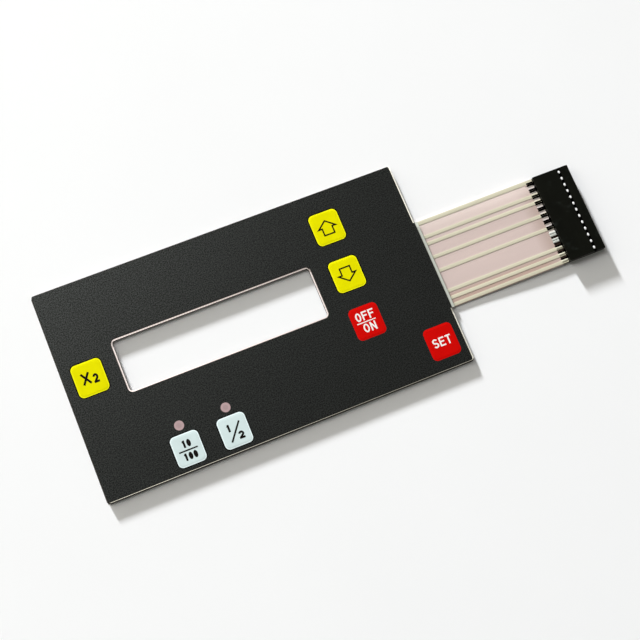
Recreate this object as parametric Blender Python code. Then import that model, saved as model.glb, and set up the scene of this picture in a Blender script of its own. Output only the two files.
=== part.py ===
"""Membrane keypad: a laminated film panel with seven keys, a display cut-out and a flat tail that ends in a
thirteen-way crimp connector.

The films lie flat on the XY plane, front face up, and the tail leaves towards +X. The stack is built from the
release liner upwards. Every film is a flat outline with its holes, given a thickness. Plan positions count from
the panel's centre, and the origin of the whole part is the middle of its footprint, on the surface it lies on.
All lengths are in metres.
"""

import math

import bmesh
import bpy
from mathutils import Matrix, Vector
from mathutils.geometry import delaunay_2d_cdt

# Keys and the fields between them, left to right
KEY_WIDTH = 0.01075
KEY_HEIGHT = 0.01185
SMALL_KEY_WIDTH = 0.0101
SMALL_KEY_HEIGHT = 0.01115
KEY_CORNER_RADIUS = 0.0018
LEFT_MARGIN = 0.00365
LEFT_KEY_TO_DISPLAY = 0.0057
DISPLAY_WIDTH = 0.0732
DISPLAY_TO_COLUMN = 0.0066
COLUMN_TO_RIGHT_EDGE = 0.02445
RIGHT_MARGIN = 0.0028
ROW_FROM_LEFT_EDGE = 0.0262
ROW_PITCH = 0.0169

# Fields from the top edge down
COLUMN_TOP_MARGIN = 0.0075
COLUMN_PITCH = 0.01845
COLUMN_TO_CORNER_KEY = 0.0044
CORNER_KEY_MARGIN = 0.0040
DISPLAY_TOP_MARGIN = 0.0247
DISPLAY_HEIGHT = 0.0188
DISPLAY_CORNER_RADIUS = 0.0013
ROW_BOTTOM_MARGIN = 0.0018
LAMP_GAP = 0.00135
LAMP_DIAMETER = 0.0034

# Outlines of the layers
PANEL_CORNER_RADIUS = 0.0010
OVERLAY_SETBACK = 0.00045
OVERLAY_DISPLAY_MARGIN = 0.00045
LAMP_HOLE_DIAMETER = 0.0026
LINER_MARGIN = 0.0003
OVERLAY_ROOT_TAB = 0.00035
RETAINER_ROOT_TAB = 0.0009

# Thicknesses, from the bottom of the stack to the top
LINER_THICKNESS = 0.00012
REAR_ADHESIVE_THICKNESS = 0.00025
CIRCUIT_FILM_THICKNESS = 0.00018
CONDUCTOR_THICKNESS = 0.00004
INSULATION_THICKNESS = 0.00005
SPACER_THICKNESS = 0.00042
RETAINER_THICKNESS = 0.00013
OVERLAY_ADHESIVE_THICKNESS = 0.00010
OVERLAY_THICKNESS = 0.00025
FILM_GAP = 0.00001

# Embossed keys
EMBOSS_HEIGHT = 0.00004
EMBOSS_RUN = 0.0009

# Metal domes and their printed pads
DOME_DIAMETER = 0.0084
DOME_HEIGHT = 0.00032
DOME_SHEET = 0.00007
DOME_LEG_RELIEF = 0.00055
DOME_CLEARANCE = 0.0003
DOME_FOOT_OVERLAP = 0.0009
CENTRE_PAD_DIAMETER = 0.0032
VENT_WIDTH = 0.0008

# Printed tracks
TRACK_WIDTH = 0.0008
TRACK_CLEARANCE = 0.0005
BUS_EDGE_MARGIN = 0.0015
LANE_PITCH = 0.0019
LANE_TO_DISPLAY = 0.0036
LANE_TO_COLUMN = 0.0022
TAIL_TRACK_NECK = 0.0006
TAIL_JOG_LENGTH = 0.0005
TAIL_JOG_TO_CRIMP = 0.0003
TRACK_TO_CRIMP = 0.0001
TAIL_PRINT_TO_EDGE = 0.00022
INSULATION_SIDE = 0.00024
INSULATION_BAND = 0.0015

# Tail and connector
CONTACT_PITCH = 0.00254
USED_POSITIONS = (1, 3, 4, 6, 8, 11, 12, 13)
TAIL_LENGTH = 0.0468
TAIL_CENTRE_FROM_TOP = 0.0397
HOUSING_END_WALL = 0.0003
HOUSING_LENGTH = 0.0140
HOUSING_FLOOR = 0.0005
HOUSING_CHAMFER = 0.00015
MATING_WALL = 0.0008
PIN_HOLE_WIDTH = 0.00095
PIN_LEAD_IN = 0.0003
CAVITY_CLEARANCE = 0.00015
LANCE_WINDOW_LENGTH = 0.0009
LANCE_WINDOW_WIDTH = 0.0014
LANCE_WINDOW_FROM_END = 0.0039
TAIL_TO_HOUSING = 0.00015

# Crimp contacts, folded from strip
CONTACT_SHEET = 0.0002
CRIMP_LENGTH = 0.0029
CRIMP_TO_HOUSING = 0.00055
CRIMP_INNER_WIDTH = 0.0008
CRIMP_FILM_CLEARANCE = 0.00003
CRIMP_SLOT_CLEARANCE = 0.00005
CRIMP_SEAM = 0.00016
NECK_WALL = 0.0003
SOCKET_INNER_WIDTH = 0.0011
SOCKET_LENGTH = 0.0068
SOCKET_TAPER = 0.0009

# Fineness of the curves
CORNER_STEPS = 4
ROUND_STEPS = 24
TAIL_STEPS = 8
DOME_SPOKES = 24
DOME_RINGS = 3
PLAN_SCALE = 1000.0
PLAN_TOLERANCE = 0.00001

# Panel outline
PANEL_WIDTH = (
    LEFT_MARGIN + KEY_WIDTH + LEFT_KEY_TO_DISPLAY + DISPLAY_WIDTH + DISPLAY_TO_COLUMN + KEY_WIDTH
    + COLUMN_TO_RIGHT_EDGE
)
PANEL_HEIGHT = (
    COLUMN_TOP_MARGIN + 2 * COLUMN_PITCH + KEY_HEIGHT + COLUMN_TO_CORNER_KEY + KEY_HEIGHT + CORNER_KEY_MARGIN
)
LEFT = -PANEL_WIDTH / 2
RIGHT = PANEL_WIDTH / 2
BOTTOM = -PANEL_HEIGHT / 2
TOP = PANEL_HEIGHT / 2

# Display cut-out in the lower layers
DISPLAY_LEFT = LEFT + LEFT_MARGIN + KEY_WIDTH + LEFT_KEY_TO_DISPLAY
DISPLAY_RIGHT = DISPLAY_LEFT + DISPLAY_WIDTH
DISPLAY_TOP = TOP - DISPLAY_TOP_MARGIN
DISPLAY_BOTTOM = DISPLAY_TOP - DISPLAY_HEIGHT
DISPLAY_CENTRE_Y = (DISPLAY_TOP + DISPLAY_BOTTOM) / 2

# Key centres
COLUMN_X = DISPLAY_RIGHT + DISPLAY_TO_COLUMN + KEY_WIDTH / 2
COLUMN_TOP_Y = TOP - COLUMN_TOP_MARGIN - KEY_HEIGHT / 2
ROW_X = LEFT + ROW_FROM_LEFT_EDGE + SMALL_KEY_WIDTH / 2
ROW_Y = BOTTOM + ROW_BOTTOM_MARGIN + SMALL_KEY_HEIGHT / 2
CORNER_KEY_X = RIGHT - RIGHT_MARGIN - KEY_WIDTH / 2
CORNER_KEY_Y = BOTTOM + CORNER_KEY_MARGIN + KEY_HEIGHT / 2
KEYS = {
    "left": (LEFT + LEFT_MARGIN + KEY_WIDTH / 2, DISPLAY_CENTRE_Y),
    "up": (COLUMN_X, COLUMN_TOP_Y),
    "down": (COLUMN_X, COLUMN_TOP_Y - COLUMN_PITCH),
    "clear": (COLUMN_X, COLUMN_TOP_Y - 2 * COLUMN_PITCH),
    "enter": (CORNER_KEY_X, CORNER_KEY_Y),
    "units": (ROW_X, ROW_Y),
    "half": (ROW_X + ROW_PITCH, ROW_Y),
}
YELLOW_KEYS = ("left", "up", "down")
RED_KEYS = ("clear", "enter")
SMALL_KEYS = ("units", "half")
LAMP_Y = ROW_Y + SMALL_KEY_HEIGHT / 2 + LAMP_GAP + LAMP_DIAMETER / 2
LAMPS = ((ROW_X, LAMP_Y), (ROW_X + ROW_PITCH, LAMP_Y))

# Heights of the layers' undersides
REAR_ADHESIVE_Z = LINER_THICKNESS + FILM_GAP
CIRCUIT_FILM_Z = REAR_ADHESIVE_Z + REAR_ADHESIVE_THICKNESS + FILM_GAP
CONDUCTOR_Z = CIRCUIT_FILM_Z + CIRCUIT_FILM_THICKNESS + FILM_GAP
INSULATION_Z = CONDUCTOR_Z + CONDUCTOR_THICKNESS + FILM_GAP
SPACER_Z = INSULATION_Z + INSULATION_THICKNESS + FILM_GAP
RETAINER_Z = SPACER_Z + SPACER_THICKNESS + FILM_GAP
OVERLAY_ADHESIVE_Z = RETAINER_Z + RETAINER_THICKNESS + FILM_GAP
OVERLAY_Z = OVERLAY_ADHESIVE_Z + OVERLAY_ADHESIVE_THICKNESS + FILM_GAP

# Connector, measured from the housing's inner end
CONTACT_COUNT = USED_POSITIONS[-1]
HOUSING_WIDTH = CONTACT_COUNT * CONTACT_PITCH + 2 * HOUSING_END_WALL
TAIL_CENTRE_Y = TOP - TAIL_CENTRE_FROM_TOP
HOUSING_X = RIGHT + TAIL_LENGTH
TAIL_END_X = HOUSING_X - TAIL_TO_HOUSING
CRIMP_FROM = -CRIMP_LENGTH
CRIMP_TO = -CRIMP_TO_HOUSING
CRIMP_HEIGHT = (
    CONTACT_SHEET + CIRCUIT_FILM_THICKNESS + FILM_GAP + CONDUCTOR_THICKNESS + 2 * CRIMP_FILM_CLEARANCE
)
CRIMP_HALF_WIDTH = (CRIMP_INNER_WIDTH + CONTACT_SHEET) / 2
SOCKET_HALF_WIDTH = (SOCKET_INNER_WIDTH + CONTACT_SHEET) / 2
SOCKET_HEIGHT = SOCKET_INNER_WIDTH + CONTACT_SHEET
SOCKET_OUTER_WIDTH = SOCKET_HEIGHT + CONTACT_SHEET
CAVITY_WIDTH = SOCKET_OUTER_WIDTH + 2 * CAVITY_CLEARANCE
HOUSING_HEIGHT = CAVITY_WIDTH + 2 * HOUSING_FLOOR
SOCKET_TO = HOUSING_LENGTH - MATING_WALL - CAVITY_CLEARANCE
SOCKET_FROM = SOCKET_TO - SOCKET_LENGTH
CONTACT_Z = HOUSING_FLOOR + CAVITY_CLEARANCE + CONTACT_SHEET / 2
TAIL_FILM_END_Z = CONTACT_Z + CONTACT_SHEET / 2 + CRIMP_FILM_CLEARANCE
TAIL_RISE = TAIL_FILM_END_Z - CIRCUIT_FILM_Z

# Tracks of the tail. They spread over its full width and close up to the contacts just before the crimps.
TAIL_PRINT_WIDTH = TRACK_WIDTH + 2 * INSULATION_SIDE
TAIL_PITCH = (HOUSING_WIDTH - 2 * TAIL_PRINT_TO_EDGE - TAIL_PRINT_WIDTH) / (CONTACT_COUNT - 1)
RUN_END = HOUSING_X + CRIMP_FROM - TRACK_TO_CRIMP
JOG_TO = HOUSING_X + CRIMP_FROM - TAIL_JOG_TO_CRIMP
JOG_FROM = JOG_TO - TAIL_JOG_LENGTH

# Stretch of the tail that climbs to the connector
CLIMB_FROM = RIGHT + OVERLAY_ROOT_TAB + RETAINER_ROOT_TAB
CLIMB_TO = JOG_FROM - TRACK_WIDTH
TAIL_STATIONS = [CLIMB_FROM + (CLIMB_TO - CLIMB_FROM) * i / TAIL_STEPS for i in range(TAIL_STEPS + 1)]

# Whole footprint
FOOTPRINT_LEFT = LEFT - LINER_MARGIN
FOOTPRINT_RIGHT = HOUSING_X + HOUSING_LENGTH
PANEL_X = -(FOOTPRINT_LEFT + FOOTPRINT_RIGHT) / 2


def clear_scene():
    """Remove every object of the open scene."""
    for old in list(bpy.data.objects):
        bpy.data.objects.remove(old, do_unlink=True)


def make_material(name, colour, roughness, metallic=0.0, alpha=1.0):
    """Principled material with one colour, roughness and metallic value."""
    material = bpy.data.materials.new(name)
    material.use_nodes = True
    shader = material.node_tree.nodes["Principled BSDF"]
    shader.inputs["Base Color"].default_value = (*colour, 1.0)
    shader.inputs["Roughness"].default_value = roughness
    shader.inputs["Metallic"].default_value = metallic
    shader.inputs["Alpha"].default_value = alpha
    return material


def make_empty(name, location):
    """Empty that carries the pieces which share a reference point."""
    empty = bpy.data.objects.new(name, None)
    empty.empty_display_size = 0.01
    empty.location = location
    bpy.context.scene.collection.objects.link(empty)
    return empty


def add_object(name, mesh, material, parent, location=(0, 0, 0)):
    """Link a mesh to the scene as one named piece."""
    piece = bpy.data.objects.new(name, mesh)
    if not mesh.materials:
        mesh.materials.append(material)
    piece.parent = parent
    piece.location = location
    bpy.context.scene.collection.objects.link(piece)
    return piece


def rectangle(left, bottom, right, top):
    """Corner points of an upright rectangle, anticlockwise."""
    return [(left, bottom), (right, bottom), (right, top), (left, top)]


def arc(x, y, radius, start, end, steps):
    """Points along a circular arc, both ends included."""
    turns = [start + (end - start) * i / steps for i in range(steps + 1)]
    return [(x + radius * math.cos(a), y + radius * math.sin(a)) for a in turns]


def circle(x, y, diameter):
    """Points round a full circle."""
    return arc(x, y, diameter / 2, 0, 2 * math.pi, ROUND_STEPS)[:-1]


def rounded_rectangle(left, bottom, right, top, radius):
    """Rectangle whose corners are arcs, anticlockwise."""
    quarter = math.pi / 2
    centres = [
        (right - radius, top - radius),
        (left + radius, top - radius),
        (left + radius, bottom + radius),
        (right - radius, bottom + radius),
    ]
    points = []
    for i, (x, y) in enumerate(centres):
        points += arc(x, y, radius, i * quarter, (i + 1) * quarter, CORNER_STEPS)
    return points


def key_size(name):
    """Width and height of a key's colour field."""
    if name in SMALL_KEYS:
        return SMALL_KEY_WIDTH, SMALL_KEY_HEIGHT
    return KEY_WIDTH, KEY_HEIGHT


def key_outline(name, inset=0.0):
    """Rounded outline of a key's colour field, drawn in by an inset."""
    x, y = KEYS[name]
    width, height = key_size(name)
    half_width = width / 2 - inset
    half_height = height / 2 - inset
    radius = KEY_CORNER_RADIUS - inset
    return rounded_rectangle(x - half_width, y - half_height, x + half_width, y + half_height, radius)


def key_inset(x, y, name):
    """How far a point lies inside a key's rounded outline. It is negative outside."""
    centre_x, centre_y = KEYS[name]
    width, height = key_size(name)
    across = abs(x - centre_x) - width / 2 + KEY_CORNER_RADIUS
    along = abs(y - centre_y) - height / 2 + KEY_CORNER_RADIUS
    outside = math.hypot(max(across, 0.0), max(along, 0.0))
    inside = min(max(across, along), 0.0)
    return KEY_CORNER_RADIUS - outside - inside


def smooth_step(value):
    """Rise from 0 to 1 with level ends."""
    value = min(max(value, 0.0), 1.0)
    return value * value * (3 - 2 * value)


def ribbon(points, width):
    """Outline of a track of constant width along a line with mitred bends."""
    line = [Vector(point) for point in points]
    left_side = []
    right_side = []
    for i, point in enumerate(line):
        before = (point - line[i - 1]).normalized() if i > 0 else (line[1] - point).normalized()
        after = (line[i + 1] - point).normalized() if i < len(line) - 1 else before
        middle = (before + after).normalized()
        side = Vector((-middle.y, middle.x))
        reach = width / 2 / max(side.dot(Vector((-before.y, before.x))), 0.2)
        left_side.append(tuple(point + side * reach))
        right_side.append(tuple(point - side * reach))
    return right_side + left_side[::-1]


def tail_lift(x, y):
    """Height that the tail gains between the panel and the connector."""
    return TAIL_RISE * smooth_step((x - CLIMB_FROM) / (CLIMB_TO - CLIMB_FROM))


def key_lift(x, y):
    """Height of the embossing over a point of the overlay."""
    deepest = max(key_inset(x, y, name) for name in KEYS)
    return EMBOSS_HEIGHT * smooth_step(deepest / EMBOSS_RUN)


def flat_faces(bm, regions, holes, creases):
    """Fill everything inside the regions and outside the holes, with edges along the creases."""
    points = []
    loops = []
    for loop in regions + creases + holes:
        first = len(points)
        points += [Vector(point) * PLAN_SCALE for point in loop]
        loops.append(list(range(first, len(points))))
    plan = delaunay_2d_cdt(points, [], loops, 1, PLAN_TOLERANCE)
    corners, triangles, owners = plan[0], plan[2], plan[5]
    first_hole = len(regions) + len(creases)
    made = {}
    for triangle, owner in zip(triangles, owners):
        if min(owner) >= len(regions) or max(owner) >= first_hole:
            continue
        for corner in triangle:
            if corner not in made:
                made[corner] = bm.verts.new((*(corners[corner] / PLAN_SCALE), 0.0))
        bm.faces.new([made[corner] for corner in triangle])


def make_sheet(name, regions, bottom, thickness, material, parent, holes=(), creases=(), lift=None):
    """One film: a flat outline with holes, extruded to its thickness and lifted where it is formed."""
    bm = bmesh.new()
    flat_faces(bm, list(regions), list(holes), list(creases))
    extruded = bmesh.ops.extrude_face_region(bm, geom=bm.faces[:])
    upper = [item for item in extruded["geom"] if isinstance(item, bmesh.types.BMVert)]
    bmesh.ops.translate(bm, verts=upper, vec=(0, 0, thickness))
    for vertex in bm.verts:
        rise = lift(vertex.co.x, vertex.co.y) if lift else 0.0
        vertex.co.z += bottom + rise
    bmesh.ops.recalc_face_normals(bm, faces=bm.faces[:])
    mesh = bpy.data.meshes.new(name)
    bm.to_mesh(mesh)
    bm.free()
    return add_object(name, mesh, material, parent)


def panel_outline(margin=0.0):
    """Outline of the lower layers, grown by a margin."""
    radius = PANEL_CORNER_RADIUS + margin
    return rounded_rectangle(LEFT - margin, BOTTOM - margin, RIGHT + margin, TOP + margin, radius)


def display_outline(margin=0.0):
    """Outline of the display cut-out, grown by a margin."""
    return rounded_rectangle(
        DISPLAY_LEFT - margin,
        DISPLAY_BOTTOM - margin,
        DISPLAY_RIGHT + margin,
        DISPLAY_TOP + margin,
        DISPLAY_CORNER_RADIUS + margin,
    )


def lamp_holes():
    """Round holes under the two indicator windows."""
    return [circle(x, y, LAMP_HOLE_DIAMETER) for x, y in LAMPS]


def root_tab(reach):
    """Strip that runs past the panel's edge over the root of the tail."""
    half_width = HOUSING_WIDTH / 2
    return rectangle(
        RIGHT - PANEL_CORNER_RADIUS - OVERLAY_SETBACK,
        TAIL_CENTRE_Y - half_width,
        RIGHT + reach,
        TAIL_CENTRE_Y + half_width,
    )


def tail_strips(y, width, start, end):
    """Strip along the tail, divided at the stations where it bends."""
    cuts = [start] + [x for x in TAIL_STATIONS if start < x < end] + [end]
    return [rectangle(a, y - width / 2, b, y + width / 2) for a, b in zip(cuts, cuts[1:])]


def position_y(position):
    """Height on the plan of one of the connector's positions, counted from the top."""
    return TAIL_CENTRE_Y + ((CONTACT_COUNT + 1) / 2 - position) * CONTACT_PITCH


def run_y(position):
    """Height on the plan of the tail's track to one of the connector's positions."""
    return TAIL_CENTRE_Y + ((CONTACT_COUNT + 1) / 2 - position) * TAIL_PITCH


def tail_run(position, width, start):
    """Strip of constant width along the tail that steps over to its contact just before the crimp."""
    path = [
        (JOG_FROM - TRACK_WIDTH / 2, run_y(position)),
        (JOG_FROM, run_y(position)),
        (JOG_TO, position_y(position)),
        (RUN_END, position_y(position)),
    ]
    return tail_strips(run_y(position), width, start, JOG_FROM) + [ribbon(path, width)]


def make_overlay(parent):
    """Printed front film with embossed keys and clear lamp windows."""
    colours = [
        make_material("overlay_black", (0.028, 0.029, 0.028), 0.62),
        make_material("key_yellow", (0.79, 0.75, 0.012), 0.5),
        make_material("key_red", (0.62, 0.012, 0.008), 0.5),
        make_material("key_pale", (0.68, 0.79, 0.78), 0.5),
        make_material("lamp_window", (0.40, 0.29, 0.29), 0.3),
    ]
    setback = OVERLAY_SETBACK
    outline = rounded_rectangle(LEFT, BOTTOM + setback, RIGHT - setback, TOP, PANEL_CORNER_RADIUS)
    creases = [circle(x, y, LAMP_DIAMETER) for x, y in LAMPS]
    for name in KEYS:
        for share in (0.0, 0.5, 1.0):
            creases.append(key_outline(name, EMBOSS_RUN * share))
    overlay = make_sheet(
        "graphic_overlay",
        [outline, root_tab(OVERLAY_ROOT_TAB)],
        OVERLAY_Z,
        OVERLAY_THICKNESS,
        colours[0],
        parent,
        holes=[display_outline(OVERLAY_DISPLAY_MARGIN)],
        creases=creases,
        lift=key_lift,
    )
    for colour in colours[1:]:
        overlay.data.materials.append(colour)
    for face in overlay.data.polygons:
        face.material_index = overlay_field(face.center, face.normal)
    return overlay


def overlay_field(point, normal):
    """Number of the printed colour at a point of the overlay."""
    if normal.z < 0.5:
        return 0
    for name in KEYS:
        if key_inset(point.x, point.y, name) > 0:
            return 1 if name in YELLOW_KEYS else 2 if name in RED_KEYS else 3
    for x, y in LAMPS:
        if math.hypot(point.x - x, point.y - y) < LAMP_DIAMETER / 2:
            return 4
    return 0


def make_overlay_adhesive(parent):
    """Adhesive that holds the overlay, cut like the overlay."""
    setback = OVERLAY_SETBACK
    outline = rounded_rectangle(LEFT, BOTTOM + setback, RIGHT - setback, TOP, PANEL_CORNER_RADIUS)
    return make_sheet(
        "overlay_adhesive",
        [outline],
        OVERLAY_ADHESIVE_Z,
        OVERLAY_ADHESIVE_THICKNESS,
        make_material("overlay_adhesive", (0.62, 0.55, 0.50), 0.5),
        parent,
        holes=[display_outline(OVERLAY_DISPLAY_MARGIN)] + lamp_holes(),
    )


def make_dome_retainer(parent):
    """Film over the domes, with a tab across the root of the tail."""
    return make_sheet(
        "dome_retainer",
        [panel_outline(), root_tab(OVERLAY_ROOT_TAB + RETAINER_ROOT_TAB)],
        RETAINER_Z,
        RETAINER_THICKNESS,
        make_material("dome_retainer", (0.66, 0.70, 0.66), 0.35),
        parent,
        holes=[display_outline()] + lamp_holes(),
    )


def vent(first, second):
    """Air channel between two dome pockets."""
    return ribbon([KEYS[first], KEYS[second]], VENT_WIDTH)


def make_dome_spacer(parent):
    """Spacer with a round pocket for each dome and channels for the air between them."""
    pocket = DOME_DIAMETER + 2 * DOME_CLEARANCE
    pockets = [circle(x, y, pocket) for x, y in KEYS.values()]
    vents = [vent("up", "down"), vent("down", "clear"), vent("units", "half")]
    return make_sheet(
        "dome_spacer",
        [panel_outline()],
        SPACER_Z,
        SPACER_THICKNESS,
        make_material("dome_spacer", (0.66, 0.55, 0.50), 0.5),
        parent,
        holes=[display_outline()] + lamp_holes() + pockets + vents,
    )


def dome_rim(angle):
    """Radius of a dome's rim: full at the four legs, relieved between them."""
    relief = DOME_LEG_RELIEF * (1 + math.cos(4 * angle)) / 2
    return DOME_DIAMETER / 2 - relief


def dome_mesh():
    """Shallow sheet-metal dome on four legs."""
    bm = bmesh.new()
    crown = bm.verts.new((0, 0, DOME_HEIGHT))
    inner = [crown] * DOME_SPOKES
    for ring in range(1, DOME_RINGS + 1):
        share = ring / DOME_RINGS
        outer = []
        for spoke in range(DOME_SPOKES):
            angle = 2 * math.pi * spoke / DOME_SPOKES
            radius = share * dome_rim(angle)
            height = DOME_HEIGHT * (1 - (2 * radius / DOME_DIAMETER) ** 2)
            outer.append(bm.verts.new((radius * math.cos(angle), radius * math.sin(angle), height)))
        for spoke in range(DOME_SPOKES):
            following = (spoke + 1) % DOME_SPOKES
            corners = [inner[spoke], outer[spoke], outer[following]]
            if ring > 1:
                corners.append(inner[following])
            bm.faces.new(corners)
        inner = outer
    mesh = bpy.data.meshes.new("dome")
    bm.to_mesh(mesh)
    bm.free()
    mesh.materials.append(make_material("dome_steel", (0.72, 0.72, 0.70), 0.25, 1.0))
    mesh.shade_smooth()
    return mesh


def make_domes(parent):
    """One dome under each key, standing on its printed ring."""
    mesh = dome_mesh()
    foot_z = CONDUCTOR_Z + CONDUCTOR_THICKNESS + FILM_GAP
    for name, (x, y) in KEYS.items():
        dome = add_object("dome_" + name, mesh, None, parent, (x, y, foot_z))
        sheet = dome.modifiers.new("sheet", "SOLIDIFY")
        sheet.thickness = DOME_SHEET
        sheet.offset = 1.0


def make_circuit_film(parent):
    """Printed circuit film, one piece with the tail that carries the tracks to the connector."""
    tail = tail_strips(TAIL_CENTRE_Y, HOUSING_WIDTH, RIGHT - PANEL_CORNER_RADIUS, TAIL_END_X)
    inner = CRIMP_INNER_WIDTH / 2 - CRIMP_SLOT_CLEARANCE
    outer = CRIMP_INNER_WIDTH / 2 + CONTACT_SHEET + CRIMP_SLOT_CLEARANCE
    start = HOUSING_X + CRIMP_FROM - 2 * CRIMP_SLOT_CLEARANCE
    end = TAIL_END_X + CRIMP_SLOT_CLEARANCE
    slots = []
    for position in range(1, CONTACT_COUNT + 1):
        y = position_y(position)
        slots.append(rectangle(start, y - outer, end, y - inner))
        slots.append(rectangle(start, y + inner, end, y + outer))
    return make_sheet(
        "circuit_film",
        [panel_outline()] + tail,
        CIRCUIT_FILM_Z,
        CIRCUIT_FILM_THICKNESS,
        make_material("circuit_film", (0.76, 0.60, 0.55), 0.35),
        parent,
        holes=[display_outline()] + slots,
        lift=tail_lift,
    )


def ring_radii():
    """Inner and outer radius of the printed ring that a dome stands on."""
    return DOME_DIAMETER / 2 - DOME_FOOT_OVERLAP, DOME_DIAMETER / 2 + DOME_CLEARANCE


def open_ring(centre, exit_angle):
    """Printed ring with a gap where the inner pad's track leaves."""
    inner, outer = ring_radii()
    x, y = centre
    gap = math.asin((TRACK_WIDTH / 2 + TRACK_CLEARANCE) / inner)
    start = exit_angle + gap
    end = exit_angle + 2 * math.pi - gap
    return arc(x, y, outer, start, end, ROUND_STEPS) + arc(x, y, inner, end, start, ROUND_STEPS)


def tail_track(position):
    """A track's run along the tail, narrowed where the crimp grips it."""
    low = position_y(position) - TAIL_TRACK_NECK / 2
    high = position_y(position) + TAIL_TRACK_NECK / 2
    run = tail_run(position, TRACK_WIDTH, RIGHT - PANEL_CORNER_RADIUS)
    return run + [rectangle(JOG_TO, low, HOUSING_X + CRIMP_TO, high)]


def make_track(name, key, route, position, material, parent):
    """Printed track from a key's centre pad to its place on the connector."""
    start = KEYS[key]
    points = [start] + route + [(RIGHT, run_y(position))]
    pad = circle(*start, CENTRE_PAD_DIAMETER)
    return make_sheet(
        name,
        [pad, ribbon(points, TRACK_WIDTH)] + tail_track(position),
        CONDUCTOR_Z,
        CONDUCTOR_THICKNESS,
        material,
        parent,
        lift=tail_lift,
    )


def long_route(key, lane, position):
    """Route of a track that passes below the display and below the key column."""
    x, y = KEYS[key]
    exit_x = x + KEY_WIDTH / 2 + (DISPLAY_LEFT - KEYS["left"][0] - KEY_WIDTH / 2) / 2
    upper_y = DISPLAY_BOTTOM - LANE_TO_DISPLAY - lane * LANE_PITCH
    lower_y = KEYS["clear"][1] - ring_radii()[1] - LANE_TO_COLUMN - lane * LANE_PITCH
    step_x = DISPLAY_RIGHT - KEY_WIDTH - lane * LANE_PITCH
    riser_x = riser(lane + 1)
    return [
        (exit_x, y),
        (exit_x, upper_y),
        (step_x, upper_y),
        (step_x + upper_y - lower_y, lower_y),
        (riser_x, lower_y),
        (riser_x, run_y(position)),
    ]


def riser(number):
    """Plan position of one of the upright runs between the key column and the corner key's track."""
    first = COLUMN_X + ring_radii()[1]
    last = CORNER_KEY_X
    return first + (last - first) * (number + 1) / 5


def make_conductors(parent):
    """Seven key tracks and the common track, printed in silver on the circuit film."""
    silver = make_material("silver_ink", (0.66, 0.66, 0.62), 0.4, 0.8)
    common, up, down, clear, left, units, half, enter = USED_POSITIONS
    up_x = riser(4) - LANE_PITCH
    down_y = KEYS["down"][1]
    make_track("track_up", "up", [(up_x, KEYS["up"][1]), (up_x, run_y(up))], up, silver, parent)
    down_route = [(riser(2), down_y), (riser(3), run_y(down))]
    make_track("track_down", "down", down_route, down, silver, parent)
    clear_route = [(riser(0), KEYS["clear"][1]), (riser(0), run_y(clear))]
    make_track("track_clear", "clear", clear_route, clear, silver, parent)
    make_track("track_left", "left", long_route("left", 0, left), left, silver, parent)
    make_track("track_units", "units", long_route("units", 1, units), units, silver, parent)
    make_track("track_half", "half", long_route("half", 2, half), half, silver, parent)
    enter_route = [(CORNER_KEY_X, run_y(enter))]
    make_track("track_enter", "enter", enter_route, enter, silver, parent)
    make_common(common, silver, parent)


def make_common(position, material, parent):
    """Common track: a bus round the panel's edge that joins the seven rings."""
    outer = ring_radii()[1]
    margin = BUS_EDGE_MARGIN + TRACK_WIDTH / 2
    bus_right = RIGHT - margin - LANE_PITCH
    bus = [
        (RIGHT, run_y(position)),
        (bus_right, run_y(position)),
        (bus_right, TOP - margin),
        (LEFT + margin, TOP - margin),
        (LEFT + margin, BOTTOM + margin),
        (CORNER_KEY_X + TRACK_WIDTH / 2, BOTTOM + margin),
    ]
    links = [
        [(COLUMN_X, TOP - margin), (COLUMN_X, KEYS["up"][1] + outer - TRACK_WIDTH / 2)],
        [
            (COLUMN_X, KEYS["up"][1] - outer + TRACK_WIDTH / 2),
            (COLUMN_X, KEYS["down"][1] + outer - TRACK_WIDTH / 2),
        ],
        [
            (COLUMN_X, KEYS["down"][1] - outer + TRACK_WIDTH / 2),
            (COLUMN_X, KEYS["clear"][1] + outer - TRACK_WIDTH / 2),
        ],
        [(LEFT + margin, KEYS["left"][1]), (KEYS["left"][0] - outer + TRACK_WIDTH / 2, KEYS["left"][1])],
    ]
    for key in ("units", "half", "enter"):
        x, y = KEYS[key]
        links.append([(x, BOTTOM + margin), (x, y - outer + TRACK_WIDTH / 2)])
    rings = [open_ring(KEYS[key], math.pi / 2 if key == "enter" else 0.0) for key in KEYS]
    make_sheet(
        "track_common",
        [ribbon(line, TRACK_WIDTH) for line in [bus] + links] + rings + tail_track(position),
        CONDUCTOR_Z,
        CONDUCTOR_THICKNESS,
        material,
        parent,
        lift=tail_lift,
    )


def make_insulation(parent):
    """Insulating print over the tail's tracks: one finger for each track, joined by a band at the root."""
    root = RIGHT - PANEL_CORNER_RADIUS
    regions = []
    for position in USED_POSITIONS:
        regions += tail_run(position, TAIL_PRINT_WIDTH, root)
    band_top = run_y(USED_POSITIONS[0]) + TAIL_PRINT_WIDTH / 2
    band_bottom = run_y(USED_POSITIONS[-1]) - TAIL_PRINT_WIDTH / 2
    regions.append(rectangle(root - INSULATION_BAND, band_bottom, root, band_top))
    return make_sheet(
        "tail_insulation",
        regions,
        INSULATION_Z,
        INSULATION_THICKNESS,
        make_material("tail_insulation", (0.72, 0.71, 0.58), 0.5),
        parent,
        lift=tail_lift,
    )


def make_rear_layers(parent):
    """Mounting adhesive on the back and the release liner that covers it."""
    make_sheet(
        "rear_adhesive",
        [panel_outline()],
        REAR_ADHESIVE_Z,
        REAR_ADHESIVE_THICKNESS,
        make_material("rear_adhesive", (0.05, 0.045, 0.04), 0.7),
        parent,
        holes=[display_outline()] + lamp_holes(),
    )
    make_sheet(
        "release_liner",
        [panel_outline(LINER_MARGIN)],
        0.0,
        LINER_THICKNESS,
        make_material("release_liner", (0.78, 0.77, 0.74), 0.6),
        parent,
        holes=[display_outline(), *lamp_holes()],
    )


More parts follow.
